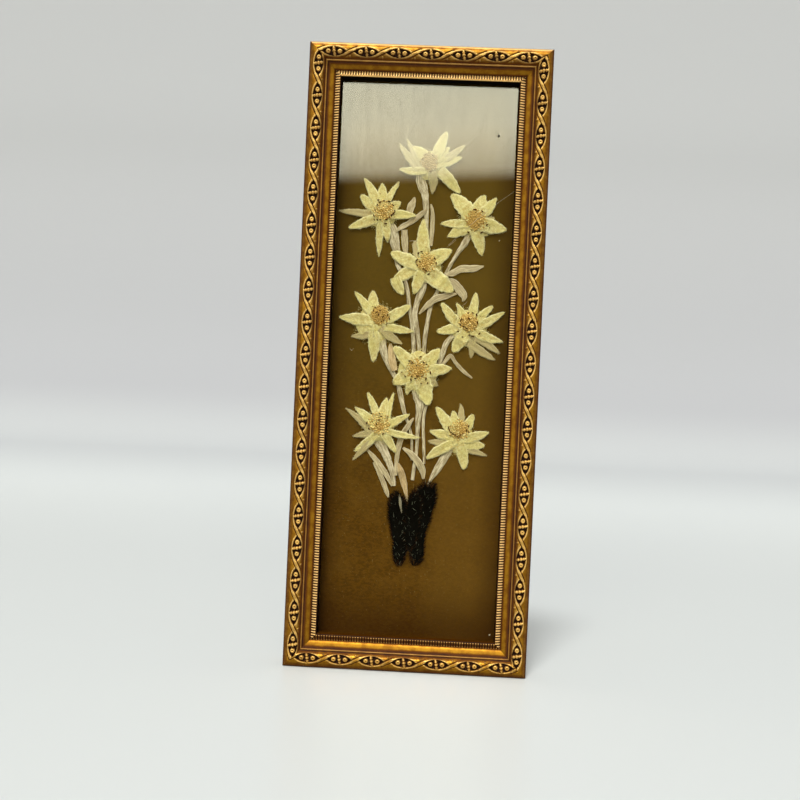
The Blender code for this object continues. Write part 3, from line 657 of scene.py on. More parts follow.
def pileCells(x, z):
    rows = ((z - pile["bottom"]) / pile["cell"]).astype(int)
    columns = ((x - pile["left"]) / pile["cell"]).astype(int)
    shape = pile["heights"].shape
    return np.clip(rows, 0, shape[0] - 1), np.clip(columns, 0, shape[1] - 1)


def pileUnder(x, z):
    return pile["heights"][pileCells(x, z)]


def finer(grid, times=4):
    # linear steps between neighbours, along both axes of a grid
    for axis in (0, 1):
        count = grid.shape[axis]
        spots = np.linspace(0, count - 1, (count - 1) * times + 1)
        low = np.minimum(spots.astype(int), count - 2)
        part = spots - low
        part = part[:, None] if axis == 0 else part[None, :]
        grid = np.take(grid, low, axis) * (1 - part) + np.take(grid, low + 1, axis) * part
    return grid


def pileAdd(x, z, height):
    x, z, height = (finer(np.asarray(g, float)) for g in (x, z, height))
    np.maximum.at(pile["heights"], pileCells(x, z), height)


def curve(points, steps):
    # the Catmull-Rom curve through the rows of points, with steps pieces between two rows
    p = np.asarray(points, float)
    p = np.vstack([p[:1], p, p[-1:]])
    t = np.arange(steps)[None, :, None] / steps
    a, b, c, d = (p[k:len(p) - 3 + k, None, :] for k in range(4))
    square, cube = 2 * a - 5 * b + 4 * c - d, 3 * b - a - 3 * c + d
    run = 0.5 * (2 * b + (c - a) * t + square * t ** 2 + cube * t ** 3)
    return np.vstack([run.reshape(-1, p.shape[1]), p[-1:]])


def sideways(x, z):
    # the direction across a path: its heading turned by a right angle
    dx, dz = np.gradient(x), np.gradient(z)
    length = np.hypot(dx, dz)
    return dz / length, -dx / length


def beside(x, z, half, v):
    # places on both sides of a path, v times its half width from it
    ax, az = sideways(x, z)
    return x[:, None] + (ax * half)[:, None] * v, z[:, None] + (az * half)[:, None] * v


def distances(x, z):
    # how far along a path each of its points lies
    return np.concatenate([[0], np.cumsum(np.hypot(np.diff(x), np.diff(z)))])


def ribbonShell(x, z, half, floor, rise, section, columns=13, **values):
    # a flat blade: at each row a section of the given half width stands on floor(row) and rises
    # to floor + rise * section(v) for v from -1 to 1, with a flat underside
    v = np.sin(np.linspace(-1, 1, columns) * np.pi / 2)[None, :]
    top = floor[:, None] + rise[:, None] * section(v, np.linspace(0, 1, len(x))[:, None])
    vBack = v[:, ::-1][:, 1:-1]
    across = np.concatenate([v, vBack], axis=1)
    height = np.concatenate([top, np.repeat(floor[:, None], vBack.shape[1], axis=1)], axis=1)
    px, pz = beside(x, z, half, across)
    pileAdd(px[:, :columns], pz[:, :columns], top)
    return loft(place(px, pz, height), edge=np.abs(across), run=distances(x, z)[:, None],
                across=across * half[:, None], **values)


def restingFloor(x, z, half, lift=0.05, stiff=3):
    # the lowest smooth line that clears what already lies under a blade
    under = pileUnder(*beside(x, z, half, np.linspace(-1, 1, 7)[None, :]))
    line = highest(under.max(1), stiff)
    return blur(line[:, None], stiff, 0)[:, 0] + lift


stemWays = {
    "stem_5": [
        (-20.4, 184, 4), (-19.4, 177, 4.2), (-17.2, 170, 2.8), (-13.6, 164, 2.4), (-10.4, 158.4, 2.2),
        (-8.4, 151, 2.8), (-6.2, 142.6, 2), (-3.6, 136, 1.5), (-1.4, 128, 1.4), (-0.8, 116, 1.3),
    ],
    "stem_1": [
        (-2, 276, 4.4), (-2.8, 270, 5.5), (-1.6, 266, 5), (-0.2, 262, 4.2), (0.4, 258, 3.4),
        (1.2, 250, 2.6), (1.4, 238, 2.4),
    ],
    "stem_2": [
        (-19.5, 246, 4.4), (-16.8, 240.5, 6), (-15.3, 234, 4.8), (-14, 229, 3.6), (-13.4, 223, 2.6),
        (-9.2, 215.2, 1.8), (-7.1, 208, 2), (-5.9, 200, 2), (-4.4, 192.5, 2), (-3, 183, 2.2),
        (-2.2, 172, 1.8),
    ],
    "stem_3": [
        (25.6, 243, 3.4), (23, 236.5, 3.6), (19.2, 230.6, 2.2), (15.4, 223.6, 1.8), (12.6, 217, 1.8),
        (8.8, 208.6, 1.8), (5.9, 201.4, 2), (4.4, 192, 2.2), (3.4, 183, 2.2), (3, 172, 1.8),
    ],
    "stem_6": [
        (19, 185.6, 2.6), (15.2, 181, 3), (12.9, 173, 2.4), (11.2, 167, 2.2), (8.4, 157, 2),
        (5.8, 147, 1.8), (4.6, 139, 1.7), (5, 130, 1.6), (5.7, 121, 1.5), (6.1, 114.5, 1.2),
    ],
    "stem_7": [
        (-0.8, 159, 4), (0.6, 152, 5), (2.2, 146.6, 4.2), (1.7, 139, 2.9), (1.7, 131, 2),
        (1.6, 122, 1.7), (0.7, 113, 1.9), (0.1, 105.2, 1.9),
    ],
    "stem_8": [
        (-20.4, 128, 4.6), (-18.8, 125, 5.8), (-16.4, 121, 5), (-14, 116, 3.8), (-11.9, 111, 3),
        (-10.2, 105, 2.2), (-9.8, 101.6, 1.8),
    ],
    "stem_4": [
        (1.6, 217.5, 4.2), (0.4, 209.4, 4.2), (-1.7, 203, 3), (-2.7, 196.6, 2.8), (-1.7, 190.6, 2.4),
        (-0.4, 184, 2.2), (0.4, 178, 1.9), (0.8, 172, 1.7),
    ],
    "stem_9": [
        (20, 123.6, 4.2), (16.8, 118, 4.6), (13.3, 111.6, 3.6), (10.6, 107, 2.2), (8.6, 102.8, 0.9),
    ],
}

leafWays = {
    "leaf_l": [
        (-25.6, 120.8, 1), (-21.6, 116.6, 2.6), (-16.8, 110.8, 3), (-13, 105.4, 2.4),
        (-10.8, 101.6, 1.2),
    ],
    "leaf_b": [
        (14.5, 216.2, 1.4), (17.6, 214.4, 4), (21, 210.8, 4.4), (23.6, 207.2, 3.6), (23.2, 204.2, 0.8),
    ],
    "leaf_d": [(-8.4, 250.6, 3), (-7.6, 254.6, 4.2), (-6.3, 258, 2.8), (-5.8, 260.2, 0.8)],
    "leaf_f": [(-10.5, 242.2, 3), (-10.2, 237, 3.6), (-9.6, 232, 3), (-8.8, 227.4, 1.6)],
    "leaf_h": [(-15.4, 179.6, 1.2), (-15, 176, 3.4), (-13.9, 170, 4.4), (-12.4, 164.8, 3.2)],
    "leaf_a": [
        (13.4, 218.2, 1.4), (17.2, 219.6, 3.4), (21.6, 222, 3.8), (27.6, 222.4, 4), (33.8, 224, 0.8),
    ],
    "leaf_c": [
        (-0.4, 196.4, 0.8), (3.2, 200.6, 2.6), (8, 204.8, 3.6), (13.4, 206.7, 3.4), (19.8, 208.4, 0.9),
    ],
    "leaf_e": [
        (1, 253.4, 1.4), (-2.4, 250.4, 3), (-7.6, 246.4, 2.8), (-12.6, 243.2, 2.4), (-15.4, 240.6, 0.9),
    ],
    "leaf_g": [
        (12.6, 167.6, 0.9), (15.4, 171.6, 2), (17.9, 174.3, 2), (20.8, 170.6, 1.9), (25.2, 166.2, 1.9),
        (30.2, 162.6, 0.9),
    ],
    "leaf_i": [
        (-0.8, 139.4, 0.8), (-3.6, 135, 2.6), (-6.6, 129.6, 3), (-8.4, 122.6, 2.8), (-9.2, 114, 2),
        (-9.2, 107.4, 1.8),
    ],
    "leaf_j": [
        (-6, 122.6, 1.2), (-2.4, 120.4, 2.8), (1.8, 116.4, 3.8), (5.2, 111.2, 3.6), (6, 106.2, 1.2),
    ],
    "leaf_m": [
        (-21.4, 114.2, 1.6), (-18.8, 109.4, 2.4), (-16.5, 104.6, 2.5), (-14.3, 99.4, 2.6),
        (-12.6, 95.2, 1),
    ],
    "leaf_p": [(3.4, 256.8, 0.9), (4.6, 251, 2), (4.6, 243, 2.4), (4.2, 234, 2)],
    "leaf_k": [
        (-8.2, 114.2, 1), (-6.4, 109.6, 3.6), (-4.6, 103.6, 3.4), (-3.2, 98.2, 2), (-2.2, 93.4, 0.7),
    ],
    "leaf_n": [(-6.7, 97, 0.4), (-6.2, 94, 1.3), (-5.7, 90.6, 1.1), (-4.9, 86.6, 0.3)],
}

tanLeaves = ("leaf_h", "leaf_k")
mossLeaves = ("leaf_n",)      # these lie on the moss
bladeRise = {"stem": 0.7, "leaf": 0.5, "overMoss": 0.6}


def stemSection(v, t):
    # a low crown, 1 - v^2, with fine ribs along the stem
    return 0.25 + 0.75 * (1 - v ** 2) ** 0.6 * (1 + 0.16 * np.cos(9 * v))


def leafSection(v, t):
    # a thin blade with a rolled edge and a sunk midrib
    return 0.35 + 0.5 * (1 - v ** 2) ** 0.5 + 0.22 * bump(np.abs(v) - 0.86, 0.16) - 0.2 * bump(v, 0.16)


def driedFinish(name, deep, pale, edge):
    # streaks along the blade, with a pale downy edge
    paint = Paint(name)
    run, across, rim = (paint.value(v) for v in ("run", "across", "edge"))
    where = paint.node("ShaderNodeCombineXYZ", {}, {0: run * 0.12, 1: across, 2: paint.value("seed")})
    streak = paint.noise(0.55, 3.0, 0.6, where)
    mottle = paint.noise(2.2, 3.0, 0.6)
    down = paint.noise(0.22, 3.0, 0.65)
    colour = paint.mix(paint.step(streak, 0.34, 0.66), deep, pale)
    colour = paint.mix(paint.step(mottle, 0.45, 0.75, 0.0, 0.45), colour, deep)
    colour = paint.mix(paint.step(rim, 0.72, 0.98, 0.0, 0.6), colour, edge)
    return paint.done(paint.surface(Base_Color=colour, Roughness=0.85, Sheen_Weight=0.15,
                                    Normal=paint.bump(streak * 0.7 + down * 0.5, 0.12, 0.7)))


def makeBlade(node, way, thickness, section, finish, slot, seed, lift=0.0):
    run = curve(atDepth(way), 10)
    x, z, width = run.T
    half = np.maximum(width, 0.3) / 2 * (1 + 0.06 * waves(x, z, 4.0, seed))
    floor = restingFloor(x, z, half) + lift
    rise = thickness * np.minimum(1.0, half / 0.7)
    shell = ribbonShell(x, z, half, floor, rise, section, seed=seed * 1.7)
    return makePiece(node + "_pressed", [shell], finish, slot, [node])


def makeStemsAndLeaves():
    stem = driedFinish("stem", (0.26, 0.20, 0.09), (0.70, 0.62, 0.40), (0.62, 0.54, 0.34))
    leaf = driedFinish("leaf", (0.32, 0.25, 0.12), (0.58, 0.49, 0.28), (0.74, 0.66, 0.42))
    tan = driedFinish("tan_leaf", (0.36, 0.25, 0.10), (0.63, 0.47, 0.23), (0.52, 0.41, 0.21))
    shaded = driedFinish("shaded_leaf", (0.18, 0.15, 0.08), (0.32, 0.29, 0.17), (0.38, 0.35, 0.22))
    for k, (node, way) in enumerate(stemWays.items()):
        makeBlade(node, way, bladeRise["stem"], stemSection, stem, "stem", k)
    for k, (node, way) in enumerate(leafWays.items()):
        finish = tan if node in tanLeaves else shaded if node in mossLeaves else leaf
        lift = bladeRise["overMoss"] if node in mossLeaves else 0.0
        makeBlade(node, way, bladeRise["leaf"], leafSection, finish, "leaf", 20 + k, lift)


makeStemsAndLeaves()
print("stems and leaves made")


# each head: its middle and disc as (x, z, radius), then its bracts from the back to the front as
# (tip x, tip z, base x, base z, width)
heads = {
    "1": {
        "middle": (2, 277.6, 6.2),
        "disc": (1.6, 279.6, 5.2),
        "bracts": [
            (20.6, 289.6, 6, 279.5, 4.2), (-15.4, 289.4, -2, 273.5, 4.4),
            (-11.4, 291.9, -2.5, 275.5, 3.4), (3.7, 262.3, 3.2, 275, 4.9), (18.9, 263.2, 7, 275.6, 6.6),
            (-15, 275.1, 0, 274.6, 4.6), (19.2, 282.9, 3, 278, 5.6), (10.2, 296.6, 4.5, 281, 6.4),
            (-8, 288, 2, 280, 6.6), (12.2, 288.4, 3, 279, 5.4),
        ],
    },
    "2": {
        "middle": (-23.6, 250.8, 6.4),
        "disc": (-22.3, 252, 5.9),
        "bracts": [
            (-47, 251.2, -28, 249.6, 4.1), (-24, 227, -23.8, 246, 4.2), (-13.2, 257.3, -22, 252.6, 6.2),
            (-14.5, 268.3, -21.5, 253.5, 3.5), (-33.8, 269.6, -25.5, 254, 5.4),
            (-35.3, 260.2, -25.5, 251.5, 6), (-19.3, 234.8, -21.5, 247.5, 5.2),
            (-41.2, 241.8, -25, 248, 5.8), (-23.7, 267.2, -22.8, 253, 6.2),
            (-4.5, 249.9, -20, 249.8, 5.2),
        ],
    },
    "3": {
        "middle": (27.6, 248.4, 6.4),
        "disc": (28.2, 249, 6.2),
        "bracts": [
            (38.6, 250.6, 28, 250, 4.4), (32.6, 229.6, 27.5, 245, 6.8), (13.4, 239.2, 26, 246.5, 7.2),
            (9.2, 246.3, 25, 246, 5.2), (35, 240.6, 27, 247.5, 4.6), (39, 261.6, 29, 250, 6.4),
            (32.4, 262.9, 28, 250, 8.2), (45.4, 244.2, 28, 248.5, 8.4), (14.2, 262.3, 26, 250, 9),
        ],
    },
    "4": {
        "middle": (1.4, 223.2, 6.4),
        "disc": (2.4, 224.6, 5.8),
        "bracts": [
            (-16.2, 212.8, -3, 221.5, 6.6), (-9.6, 206.5, -14.6, 216, 6.2), (-4.6, 236.6, 0, 226, 5.6),
            (10.6, 221.6, 2, 222.6, 6.4), (-3.7, 207.1, 0.5, 220, 6.6), (17.6, 209.2, 2.5, 219.5, 9.6),
            (-17.3, 229.4, -1.5, 222.5, 7.6), (15.8, 232.2, 2.5, 225, 8.6),
            (-0.2, 248.4, 1.6, 226, 7.2),
        ],
    },
    "5": {
        "middle": (-24.3, 190.4, 8.2),
        "disc": (-21.8, 194.8, 5.6),
        "bracts": [
            (-37.3, 182.5, -24.5, 184.5, 4.4), (-18.2, 199.4, -22, 191, 4.6),
            (-24.4, 168.8, -25, 186.5, 6.6), (-9, 179.6, -21, 188, 5), (-36.2, 207.1, -25, 193, 4.8),
            (-2.9, 186.6, -19, 188.5, 4.6), (-44.2, 193, -25, 191.5, 7),
            (-26.2, 208.1, -23.8, 193, 6.6), (-5.5, 200.8, -21, 191.5, 6.2),
        ],
    },
    "6": {
        "middle": (26.9, 189.8, 7.6),
        "disc": (26.9, 193, 5.6),
        "bracts": [
            (42.3, 172.9, 27, 181.8, 4.6), (44.6, 176.6, 29.5, 186, 4.4), (29.1, 173.3, 28.4, 188, 4.4),
            (9.6, 187.2, 23.5, 190, 5.6), (39.6, 202.5, 28.5, 191.5, 4.6),
            (20, 203.3, 24.5, 191.5, 4.6), (46.3, 199.4, 29.5, 189.5, 5), (19, 176.4, 26, 188, 7.4),
            (46, 183, 29, 188.5, 5.6), (11.6, 203.1, 24, 190, 5.4), (30.2, 209.3, 27.2, 192.5, 5.4),
        ],
    },
    "7": {
        "middle": (0.2, 165.2, 8.3),
        "disc": (0.2, 166, 6.6),
        "bracts": [
            (11.8, 157.6, 2, 163, 6), (-5.2, 151.9, -1, 162.5, 5), (-3.6, 174.9, -0.5, 167, 4.4),
            (-13, 157.4, -1, 164, 8.4), (6.9, 146.6, 2.2, 162.5, 9.4), (18.9, 167.4, 2, 164.5, 7.4),
            (11.7, 177.9, 1.5, 166.5, 7.6), (-13.4, 178, -1, 166, 7.6),
        ],
    },
    "8": {
        "middle": (-19.4, 133.8, 6.4),
        "disc": (-19.4, 135.6, 6.6),
        "bracts": [
            (-33.3, 114.5, -21.5, 127.5, 3.6), (-38.6, 143.1, -23, 129.5, 4),
            (-12.3, 152.4, -15.8, 135, 3.6), (-33.9, 127.8, -21, 130.5, 3.8),
            (-3.2, 141.3, -17, 133.5, 4.4), (-32.7, 119.6, -20, 130, 4.8), (-9.6, 119.9, -18, 132, 5),
            (-26.8, 152.3, -20, 136.5, 4.2), (3.3, 128.6, -16.5, 131.6, 3.8),
            (-33.2, 143.8, -21.5, 134, 5), (-16, 149.8, -18.6, 136, 5.6),
        ],
    },
    "9": {
        "middle": (24.2, 129.6, 6.8),
        "disc": (24.5, 134, 6),
        "bracts": [
            (7.6, 127.1, 19, 126.8, 3.8), (24.7, 148.3, 24.2, 134, 4.2),
            (40.3, 120.4, 25.5, 124.8, 3.8), (31.8, 142.8, 26.5, 132, 5.4),
            (7.1, 117.4, 21.5, 126.5, 5.6), (38.7, 125.8, 25, 127, 5.8),
            (27.9, 112.3, 25.2, 126.5, 6.2), (8.3, 132.6, 22, 129.5, 5.6),
            (40.6, 133.4, 26.5, 129, 5.8), (20.8, 144.2, 22, 132, 5.6), (11.2, 145.9, 21, 131, 6),
        ],
    },
}

# dark specks: (x, z) where old florets stand
specks = {
    "1": [(-2.2, 281), (-0.6, 283.6), (3.6, 283), (5.2, 279.2), (0.4, 276), (2.6, 274.4)],
    "2": [
        (-25.5, 257.7), (-24.5, 256.5), (-22.3, 257.4), (-19.5, 257.2), (-17.3, 255.3), (-16.2, 252.2),
        (-17, 250.5), (-18, 249.5), (-19, 248.5), (-20.5, 247.3), (-21, 245.1), (-27.2, 246.8),
        (-25.6, 246.9), (-24, 247), (-27.5, 249), (-27, 252), (-26, 255),
    ],
    "3": [(24.5, 242), (31.7, 242.2), (34.5, 246.5), (27.5, 254.5), (31.5, 253.7)],
    "4": [
        (-0.6, 230.5), (-2.2, 229.5), (-2.7, 226), (-1.3, 224.8), (-2.5, 223), (-3.3, 225), (1.1, 221),
        (2.3, 220), (3.8, 218.4), (6.8, 227), (7.7, 224.5),
    ],
    "5": [
        (-24.5, 199), (-25.5, 197), (-23.5, 196.3), (-22.5, 195), (-21.8, 197.3), (-20, 194),
        (-17.5, 195), (-16.5, 193), (-19.5, 192),
    ],
    "6": [
        (26.5, 198), (29, 198.2), (31, 197.3), (23, 194.8), (22.5, 193.8), (31.8, 193), (27, 195),
        (22.5, 191.5), (24.2, 190.5), (26, 189.5), (27.5, 186), (29.5, 185.5), (24, 184.8),
        (21.3, 187.8), (33, 187),
    ],
    "7": [
        (-2.8, 162), (-0.8, 161), (0.5, 162.5), (2.8, 162.5), (5, 161), (7.3, 164.5), (5, 169),
        (3.4, 170), (-4.5, 170.5), (-3, 169.5), (-0.5, 168), (1.5, 173), (2.5, 158.5), (6, 158.8),
        (-3.2, 160.3), (-6.5, 162),
    ],
    "8": [
        (-19.5, 141), (-18.5, 139.5), (-19.5, 137.5), (-21, 135.2), (-26.3, 135.5), (-25, 132.5),
        (-17, 130),
    ],
    "9": [
        (18.5, 135), (19.2, 133.6), (20, 132.5), (21, 131.7), (22.2, 131.1), (23.5, 130.5), (25, 131),
        (26.5, 132), (28.5, 133.8), (29.5, 133), (29.5, 136.3),
    ],
}

discTones = {"1": 0.5, "3": -0.4, "5": -0.4, "7": -0.25, "9": -0.15}     # paler or darker discs

headShape = {
    "bractRise": 0.75,
    "order": 0.05,            # how much higher each bract lies than the one before
    "coreRise": 0.8,
    "woolReach": 1.25,
    "discRise": 0.7,
    "florets": 75,
    "smallSpecks": 14,
    "goldenAngle": 2.39996,   # 137.5 degrees
    "woolPerMm": 9,
    "paleFrom": (264.0, 284.0),   # painted shade: the heads behind the pale reflection are painted darker
}


def bractWidth(t, pointed):
    # widens smoothly from its base to t = 0.38, then closes as (1 - ((t - 0.38) / 0.62)^1.7)^pointed
    grow = 0.9 + 0.1 * smoothStep(t / 0.38)
    close = np.clip(1 - np.clip((t - 0.38) / 0.62, 0, 1) ** 1.7, 0, 1) ** pointed
    return grow * close


def bractSection(v, t):
    # a crowned blade with a furrow along its middle and a rolled woolly edge
    crown = 0.2 + 0.62 * np.sqrt(np.clip(1 - v ** 2, 0, 1))
    roll = 0.26 * bump(np.abs(v) - 0.8, 0.16)
    furrow = 0.34 * bump(v, 0.17) * (1 - smoothStep((t - 0.7) / 0.3))
    return crown + roll - furrow


def bractPath(bract, level, order, seed):
    # the blade leaves the head's middle at level and comes down to the velvet or to what lies there
    tipX, tipZ, baseX, baseZ, width = bract
    dice = np.random.default_rng(seed)
    t = np.linspace(0, 1, 34)
    t = 1 - (1 - t) ** 1.35
    bend = dice.uniform(-0.05, 0.05)
    length = math.hypot(tipX - baseX, tipZ - baseZ)
    aside = bend * length * np.sin(np.pi * t) + 0.1 * waves(t * length, 0, 4.0, seed + 7)
    x = baseX + (tipX - baseX) * t + aside * (tipZ - baseZ) / length
    z = baseZ + (tipZ - baseZ) * t - aside * (tipX - baseX) / length
    half = width / 2 * np.maximum(bractWidth(t, dice.uniform(0.5, 0.85)), 0.04)
    half = half * (1 + 0.06 * waves(x, z, 3.0, seed))
    floor = restingFloor(x, z, half, 0.08)
    slope = velvetFront + 0.1 + (level - velvetFront) * (1 - smoothStep((t - 0.25) / 0.6))
    floor = np.maximum(floor, slope) + order
    rise = headShape["bractRise"] * (1 - 0.3 * t) * np.minimum(1, half / 0.9)
    return x, z, half, floor, rise


def woolShell(blade, seed):
    # short hairs that stick out along both edges of a bract and lie over its face
    x, z, half, floor, rise = blade[:5]
    dice = np.random.default_rng(seed)
    run = distances(x, z)
    count = int(run[-1] * headShape["woolPerMm"])
    spot = dice.uniform(0.1, 1, count) * run[-1]
    atEdge = dice.uniform(0, 1, count) < 0.75
    edges = dice.choice([-1, 1], count) * dice.uniform(0.8, 0.98, count)
    side = np.where(atEdge, edges, dice.uniform(-0.8, 0.8, count))
    ax, az = sideways(x, z)
    px, pz, ph, wide, out = (np.interp(spot, run, g) for g in (x, z, floor + rise * 0.75, half, ax))
    up = np.interp(spot, run, az)
    heading = np.arctan2(up, out) + np.where(side < 0, np.pi, 0)
    heading = heading + np.sign(side) * dice.uniform(0.3, 1.2, count)
    top = ph - rise.mean() * 0.45 * np.abs(side) ** 3
    px, pz = px + out * wide * side, pz + up * wide * side
    length, thick = dice.uniform(0.4, 1.0, count), dice.uniform(0.07, 0.13, count)
    return needles(px, pz, top, heading, length, thick, dice.uniform(-0.1, 0.15, count),
                   dice.normal(0, 0.6, count), tone=np.full(count, blade[5]), edge=np.full(count, 0.9),
                   run=spot, across=wide * side, toTip=spot / run[-1])


def domeShell(x, z, radius, floor, rise, lumps, seed, rings=18, around=64, **values):
    # a round cushion: rise (1 - q^2)^0.6 over a lobed circle, with lumps of about the given size
    q = np.linspace(0.02, 1, rings)[:, None]
    a = np.linspace(0, 2 * np.pi, around, endpoint=False)[None, :]
    lobe = radius * (1 + 0.05 * np.cos(4 * a + seed) + 0.03 * np.cos(7 * a + 2 * seed))
    px, pz = x + lobe * q * np.cos(a), z + lobe * q * np.sin(a)
    lump = waves(px, pz, lumps, seed, 14)
    top = floor + rise * (1 - q ** 2) ** 0.6 * (1 + 0.22 * lump) + 0.06 * lump * (1 - q ** 6)
    grid = np.concatenate([np.full((1, around), floor - 0.1), top[::-1]])
    px, pz = np.concatenate([px[-1:], px[::-1]]), np.concatenate([pz[-1:], pz[::-1]])
    pileAdd(np.hstack([px, px[:, :1]]), np.hstack([pz, pz[:, :1]]), np.hstack([grid, grid[:, :1]]))
    return loft(place(px, pz, grid), **values)


def balls(x, z, height, size, stretch, turn, **values):
    # small balls, one for each place: four rings of six points
    lat = np.array([-0.98, -0.45, 0.45, 0.98])[None, :, None]
    a = np.linspace(0, 2 * np.pi, 6, endpoint=False)[None, None, :]
    x, z, height, size, stretch, turn = (np.asarray(g, float)[:, None, None]
                                         for g in (x, z, height, size, stretch, turn))
    bx, bz = np.sqrt(1 - lat ** 2) * np.cos(a) * stretch, np.sqrt(1 - lat ** 2) * np.sin(a)
    px = x + size * (bx * np.cos(turn) - bz * np.sin(turn))
    pz = z + size * (bx * np.sin(turn) + bz * np.cos(turn))
    return manyLofts(place(px, pz, height + size * 0.7 * lat * np.ones_like(a)), **values)


def feltFinish():
    # cream wool: short matted hairs along each bract, paler at its edge and greyer low down
    paint = Paint("bract")
    run, across, rim, tone, toTip = (paint.value(v) for v in ("run", "across", "edge", "tone", "toTip"))
    where = paint.node("ShaderNodeCombineXYZ", {}, {0: run * 0.3, 1: across, 2: tone * 9.0})
    hair = paint.noise(0.45, 4.0, 0.65, where)
    mottle = paint.noise(1.5, 3.0, 0.65)
    broad = paint.noise(7.0, 2.0)
    wool = paint.mix(paint.step(mottle, 0.33, 0.66), (0.58, 0.455, 0.15), (0.765, 0.72, 0.335))
    wool = paint.mix(paint.step(broad, 0.4, 0.65, 0.0, 0.5), wool, (0.69, 0.63, 0.215))
    wool = paint.mix(paint.step(toTip, 0.55, 1.0, 0.0, 0.5), wool, (0.54, 0.51, 0.205))
    wool = paint.mix(paint.step(rim, 0.62, 0.95, 0.0, 0.7), wool, (0.80, 0.775, 0.44))
    wool = paint.mix(paint.step(hair, 0.58, 0.34, 0.0, 0.55), wool, (0.43, 0.345, 0.115))
    wool = paint.mix(paint.step(tone, 0.5, 1.0, 0.0, 0.8), wool, (0.42, 0.34, 0.17))
    # painted shade over the heads behind the pale reflection
    high = paint.step(paint.parts(paint.spot())[2], *headShape["paleFrom"], 0.0, 0.42)
    wool = paint.mix(high, wool, (0.30, 0.27, 0.13))
    return paint.done(paint.surface(Base_Color=wool, Roughness=0.92, Specular_IOR_Level=0.1,
                                    Normal=paint.bump(hair + mottle * 0.8, 0.22, 0.9)))


def discFinish():
    # tan florets, each its own tone, and dark brown old ones
    paint = Paint("disc")
    tone = paint.value("tone")
    floret = paint.noise(0.6, 3.0, 0.6)
    colour = paint.mix(paint.step(tone, 0.1, 0.9), (0.55, 0.365, 0.10), (0.90, 0.70, 0.26))
    colour = paint.mix(paint.step(tone, 0.9, 1.7), colour, (0.90, 0.80, 0.45))
    colour = paint.mix(paint.step(floret, 0.62, 0.36, 0.0, 0.35), colour, (0.42, 0.25, 0.06))
    # painted shade over the discs behind the pale reflection
    high = paint.step(paint.parts(paint.spot())[2], *headShape["paleFrom"], 0.0, 0.65)
    colour = paint.mix(high, colour, (0.24, 0.15, 0.04))
    colour = paint.mix(paint.step(tone, -0.4, -0.6), colour, (0.085, 0.032, 0.007))
    return paint.done(paint.surface(Base_Color=colour, Roughness=0.95, Specular_IOR_Level=0.1,
                                    Normal=paint.bump(floret, 0.2, 0.8)))


greyBracts = {
    "1": (0, 1, 2, 3), "2": (0,), "3": (0,), "4": (2,), "5": (0, 1, 3), "6": (0, 1, 2),
    "7": (0,), "8": (0, 1, 3), "9": (0, 1, 2),
}


def makeHeads():
    felt, florets = feltFinish(), discFinish()
    for number, head in heads.items():
        seed = int(number)
        x, z, radius = atDepth(head["middle"])
        radius *= headShape["woolReach"]
        spin = np.linspace(0, 2 * np.pi, 24)
        under = pileUnder(x + radius * 0.8 * np.cos(spin), z + radius * 0.8 * np.sin(spin)).max()
        level = max(under, velvetFront + 0.3)
        blades = []
        for k, bract in enumerate(atDepth(head["bracts"])):
            grey = 1.0 if k in greyBracts[number] else 0.25 * (k % 3) / 2
            blades.append((*bractPath(bract, level, k * headShape["order"], seed * 31 + k), grey))
        shells = [ribbonShell(*blade[:5], bractSection, columns=15, tone=blade[5]) for blade in blades]
        shells.append(domeShell(x, z, radius, level - 0.1, headShape["coreRise"], 1.5, seed,
                                edge=0.0, run=0.0, across=0.0, tone=0.1, toTip=0.0))
        shells += [woolShell(blade, seed * 37 + k) for k, blade in enumerate(blades)]
        shells.append(tuftShell(x, z, radius, seed))
        makePiece("head_" + number, shells, felt, "bract", ["flower_" + number])
        makeDisc(number, florets)


def tuftShell(x, z, radius, seed):
    # the matted wool on the middle of a head: hairs that radiate from it
    dice = np.random.default_rng(seed + 500)
    count = int(24 * radius ** 1.5)
    turn = dice.uniform(0, 2 * np.pi, count)
    reach = radius * np.sqrt(dice.uniform(0.25, 1.45, count))
    px, pz = x + reach * np.cos(turn), z + reach * np.sin(turn)
    heading, length = turn + dice.normal(0, 0.7, count), dice.uniform(0.5, 1.3, count)
    return needles(px, pz, pileUnder(px, pz), heading, length, dice.uniform(0.12, 0.24, count),
                   dice.uniform(-0.15, 0.3, count), dice.normal(0, 0.8, count),
                   tone=dice.uniform(0, 0.3, count), edge=dice.uniform(0.2, 0.9, count),
                   run=dice.uniform(0, 9, count), across=dice.uniform(0, 9, count), toTip=np.zeros(count))


